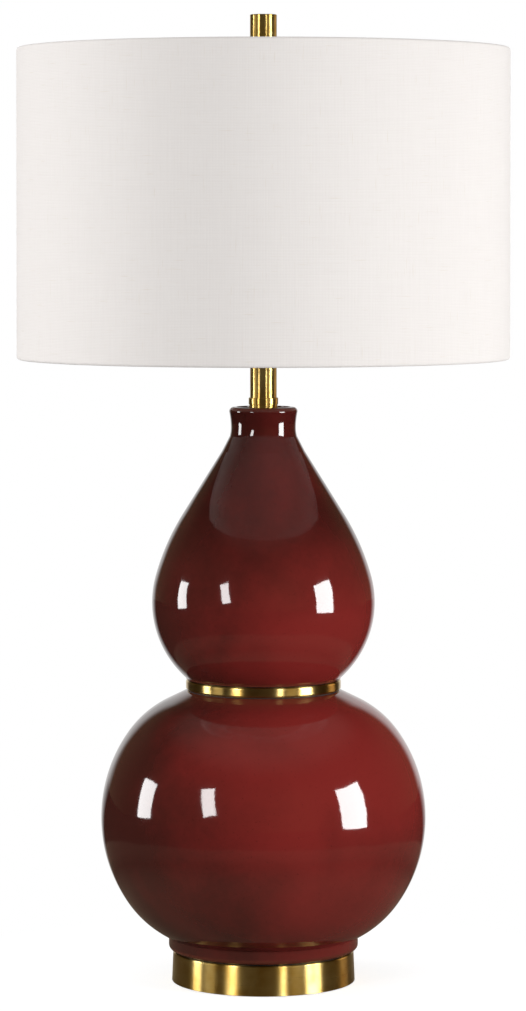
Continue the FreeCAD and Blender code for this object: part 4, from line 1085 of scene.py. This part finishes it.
class LAMP_OT_stage(bpy.types.Operator):
    """Sets up the camera, the soft lights, the white room and the pale table"""

    bl_idname = "lamp.stage"
    bl_label = "Stage"

    def execute(self, context):
        context.scene.view_settings.view_transform = "Standard"
        self.camera(context.scene)
        self.lights(context.scene.lamp_stage)
        self.room(context.scene, context.scene.lamp_stage.fill)
        self.table()
        return {"FINISHED"}

    def camera(self, scene):
        """A long lens a little above the middle of the lamp, tilted down by just over a degree."""
        away, height, tilt = 3.4056, 0.6658, 1.14
        camera = bpy.data.cameras.new("camera")
        camera.lens = 138.342
        camera.sensor_fit = "AUTO"
        camera.shift_x, camera.shift_y = -0.0004, -0.20373
        camera.clip_end = 50.0
        eye = bpy.data.objects.new("camera", camera)
        eye.location = (0.0, -away, height)
        eye.rotation_euler = (radians(90 - tilt), 0, 0)
        scene.collection.objects.link(eye)
        scene.camera = eye

    def lights(self, stage):
        """Three softboxes, and strips that light the brass alone."""
        # softboxes: place in mm, width and height in metres, tip in degrees, watts, and gain when
        # seen mirrored
        for name, centre, wide, high, tip, watts, gain in (
                ("left", (-2458, 84, 570), 0.53, 0.88, 6, stage.left_light, 1.1),
                ("near", (-1613, -1910, 960), 0.38, 0.90, 15, stage.near_light, 0.85),
                ("right", (2037, -922, 600), 0.79, 1.11, 0, stage.right_light, 1.45)):
            light = soft_light("softbox_" + name, Vector(centre) * MM, wide, high, watts, 0.35, tip)
            light.data.use_nodes = True
            tree = light.data.node_tree
            add = partial(node, tree)
            # seen once mirrored, not twice: one gourd doesn't show it again in the other
            depth = add("LightPath").outputs["Ray Depth"]
            once = add("Math", [depth, 2.5], operation="LESS_THAN")
            mirrored = add("MapRange", {"Value": depth, "From Min": 1.0, "From Max": 2.0,
                                        "To Min": 1.0, "To Max": gain})
            strength = add("Math", [once, mirrored], operation="MULTIPLY")
            tree.links.new(strength.outputs[0], tree.nodes["Emission"].inputs["Strength"])

        # strips stand between them as narrow reflectors do: bearing from the camera in degrees,
        # width in metres, share of their power, colour
        away, height, long, aim_z = 2.3, 0.62, 1.1, 0.4
        brass = bpy.data.collections.new("brass_pieces")
        for name, bearing, wide, share, tone in (
                ("cool_strip", -71, 0.66, 0.42, "#FFF6E4"),
                ("near_strip", -40, 0.60, 0.8, "#FFF6E4"),
                ("key_strip", 25, 0.27, 1.2, "#FFFFFF"),
                ("side_strip", 42, 0.62, 0.3, "#FFF0D0"),
                ("warm_strip", 122, 0.7, 0.4, "#FFD8A8")):
            at = (away * sin(radians(bearing)), -away * cos(radians(bearing)), height)
            light = soft_light(name, at, wide, long, share * stage.strips, aim_z)
            light.data.color = colour(tone)[:3]
            light.light_linking.receiver_collection = brass

    def room(self, scene, fill):
        """World light: white to the camera; to glossy rays a dim room with a few paler stretches
        of wall and a white backdrop behind the lamp; a plain fill to everything else."""
        scene.world = bpy.data.worlds.new("studio")
        add = empty(scene.world)
        x, y, z = add("SeparateXYZ", [add("TexCoord").outputs["Generated"]]).outputs
        # the walls by compass bearing in degrees, 0 at the camera and 180 behind the lamp
        front = add("Math", [y, -1.0], operation="MULTIPLY")
        bearing = add("Math", [x, front], operation="ARCTAN2")
        turn = add("MapRange", {"Value": bearing, "From Min": -pi, "From Max": pi})
        walls = add("ValToRGB", [turn], stops=[((at + 180) / 360, tone) for at, tone in (
            (-180, "#5E543F"), (-135, "#544A38"), (-112, "#31291A"), (-10, "#31291A"),
            (10, "#483E2A"), (30, "#52472F"), (50, "#382F1F"), (100, "#31291A"),
            (130, "#4C412E"), (180, "#5E543F"))])
        # they darken upwards, to a plain grey ceiling
        upper = add("MapRange", {"Value": z, "From Min": 0.35, "From Max": 0.62, "To Min": 1.0,
                                 "To Max": 0.25}, interpolation_type="SMOOTHSTEP")
        wall = add("Mix", [1.0, walls, upper], data_type="RGBA", blend_type="MULTIPLY")
        above = add("MapRange", {"Value": z, "From Min": 0.6, "From Max": 0.9},
                    interpolation_type="SMOOTHSTEP")
        lit = add("Mix", [above, wall, colour("#807870")], data_type="RGBA")
        # the white backdrop fills a cone of about 25 degrees behind the lamp
        patch = add("MapRange", {"Value": y, "From Min": BACKDROP_RIM, "From Max": BACKDROP_FULL,
                                 "To Max": 0.85}, interpolation_type="SMOOTHSTEP")
        around = add("Mix", [patch, lit, WHITE], data_type="RGBA")
        rays = add("LightPath").outputs
        glossy = add("Math", [rays["Is Glossy Ray"], rays["Is Transmission Ray"]],
                     operation="MAXIMUM")
        # the room is a little lighter on the left
        side = add("Math", [x, -0.45 * fill, fill], operation="MULTIPLY_ADD")
        seen = add("Mix", [glossy, side, around], data_type="RGBA")
        final = add("Mix", [rays["Is Camera Ray"], seen, WHITE], data_type="RGBA")
        glow = add("Background", {"Color": final, "Strength": 1.0})
        add("OutputWorld", {"Surface": glow})

    def table(self):
        """Pale matt table: a flat grid, with a glow for camera and glossy rays that lifts it to
        white and keeps the lamp's own soft shadow."""
        reach, count = 4000, 9
        side = np.linspace(-reach, reach, count)
        # a tenth of a millimetre low, so that it doesn't lie in one plane with the felt pad
        grid = np.stack(np.meshgrid(side, side, -0.1, indexing="ij"), -1).reshape(count, count, 3)
        material = bpy.data.materials.new("matt_white_table")
        add = empty(material)
        rays = add("LightPath").outputs
        camera, glossy = rays["Is Camera Ray"], rays["Is Glossy Ray"]
        place_in = add("TexCoord").outputs["Object"]
        far = add("VectorMath", [place_in], operation="LENGTH")
        # mirrored in the lamp the table is grey near the foot and again from 0.42 to 0.62 m, dim
        # past its edge, and white in a cone behind it, where it runs up into the backdrop
        dim = add("ValToRGB", [far], stops=[
            (0.24, 0.2), (0.36, 0.08), (0.46, 0.13), (0.6, 0.13), (0.65, 0.03), (0.9, 0.016)])
        heading = add("VectorMath", [place_in], operation="NORMALIZE")
        depth = add("SeparateXYZ", [heading]).outputs["Y"]
        behind = add("MapRange", {"Value": depth, "From Min": BACKDROP_RIM,
                                  "From Max": BACKDROP_FULL})
        # further back it takes the tone of the walls that it runs up to
        rear = add("MapRange", {"Value": depth, "From Max": 0.5, "To Max": 0.012})
        grey = add("Math", [dim, rear], operation="ADD")
        warm = add("Mix", [1.0, (1.0, 0.78, 0.55, 1), grey],
                   data_type="RGBA", blend_type="MULTIPLY")
        tone = add("Mix", [glossy, (0.5, 0.5, 0.5, 1), warm], data_type="RGBA")
        matt = add("BsdfDiffuse", {"Color": tone})
        lift = add("Math", [camera, 0.72], operation="MULTIPLY")
        mirrored = add("Math", [glossy, behind], operation="MULTIPLY")
        raised = add("Math", [mirrored, 0.8, lift], operation="MULTIPLY_ADD")
        glow = add("Emission", {"Color": WHITE, "Strength": raised})
        close = add("AddShader", [matt, glow])
        # to the camera the table is white beyond its shadow, as the room is
        white = add("Emission", {"Color": WHITE, "Strength": 1.0})
        past = add("MapRange", {"Value": far, "From Min": 0.12, "From Max": 0.32})
        clear = add("Math", [camera, past], operation="MULTIPLY")
        add("OutputMaterial", {"Surface": add("MixShader", [clear, close, white])})
        mesh = surface(grid, around=False)
        mesh.materials.append(material)
        table = bpy.data.objects.new("table", mesh)
        bpy.context.scene.collection.objects.link(table)


# ---------------------------------------------------------------- panel and start


OPERATORS = (LAMP_OT_stage, LAMP_OT_foot, LAMP_OT_gourds, LAMP_OT_brass_stack, LAMP_OT_shade,
             LAMP_OT_harp, LAMP_OT_holder, LAMP_OT_bulb)
SETTINGS = {"lamp_ceramic": CeramicSettings, "lamp_brass": BrassSettings,
            "lamp_shade": ShadeSettings, "lamp_stage": StageSettings}


class LAMP_PT_panel(bpy.types.Panel):
    """Lists the lamp's operators and settings in the sidebar."""

    bl_idname = "LAMP_PT_panel"
    bl_label = "Double gourd lamp"
    bl_space_type = "VIEW_3D"
    bl_region_type = "UI"
    bl_category = "Lamp"

    def draw(self, context):
        for operator in OPERATORS:
            self.layout.operator(operator.bl_idname)
        for name, group in SETTINGS.items():
            column = self.layout.column()
            for key in group.__annotations__:
                column.prop(getattr(context.scene, name), key)


def register():
    for group in SETTINGS.values():
        bpy.utils.register_class(group)
    for operator in OPERATORS:
        bpy.utils.register_class(operator)
    bpy.utils.register_class(LAMP_PT_panel)
    for name, group in SETTINGS.items():
        setattr(bpy.types.Scene, name, PointerProperty(type=group))


def unregister():
    for name in SETTINGS:
        delattr(bpy.types.Scene, name)
    bpy.utils.unregister_class(LAMP_PT_panel)
    for operator in reversed(OPERATORS):
        bpy.utils.unregister_class(operator)
    for group in reversed(SETTINGS.values()):
        bpy.utils.unregister_class(group)


def main():
    register()
    for operator in OPERATORS:
        group, name = operator.bl_idname.split(".")
        getattr(getattr(bpy.ops, group), name)()


if __name__ == "__main__":
    main()
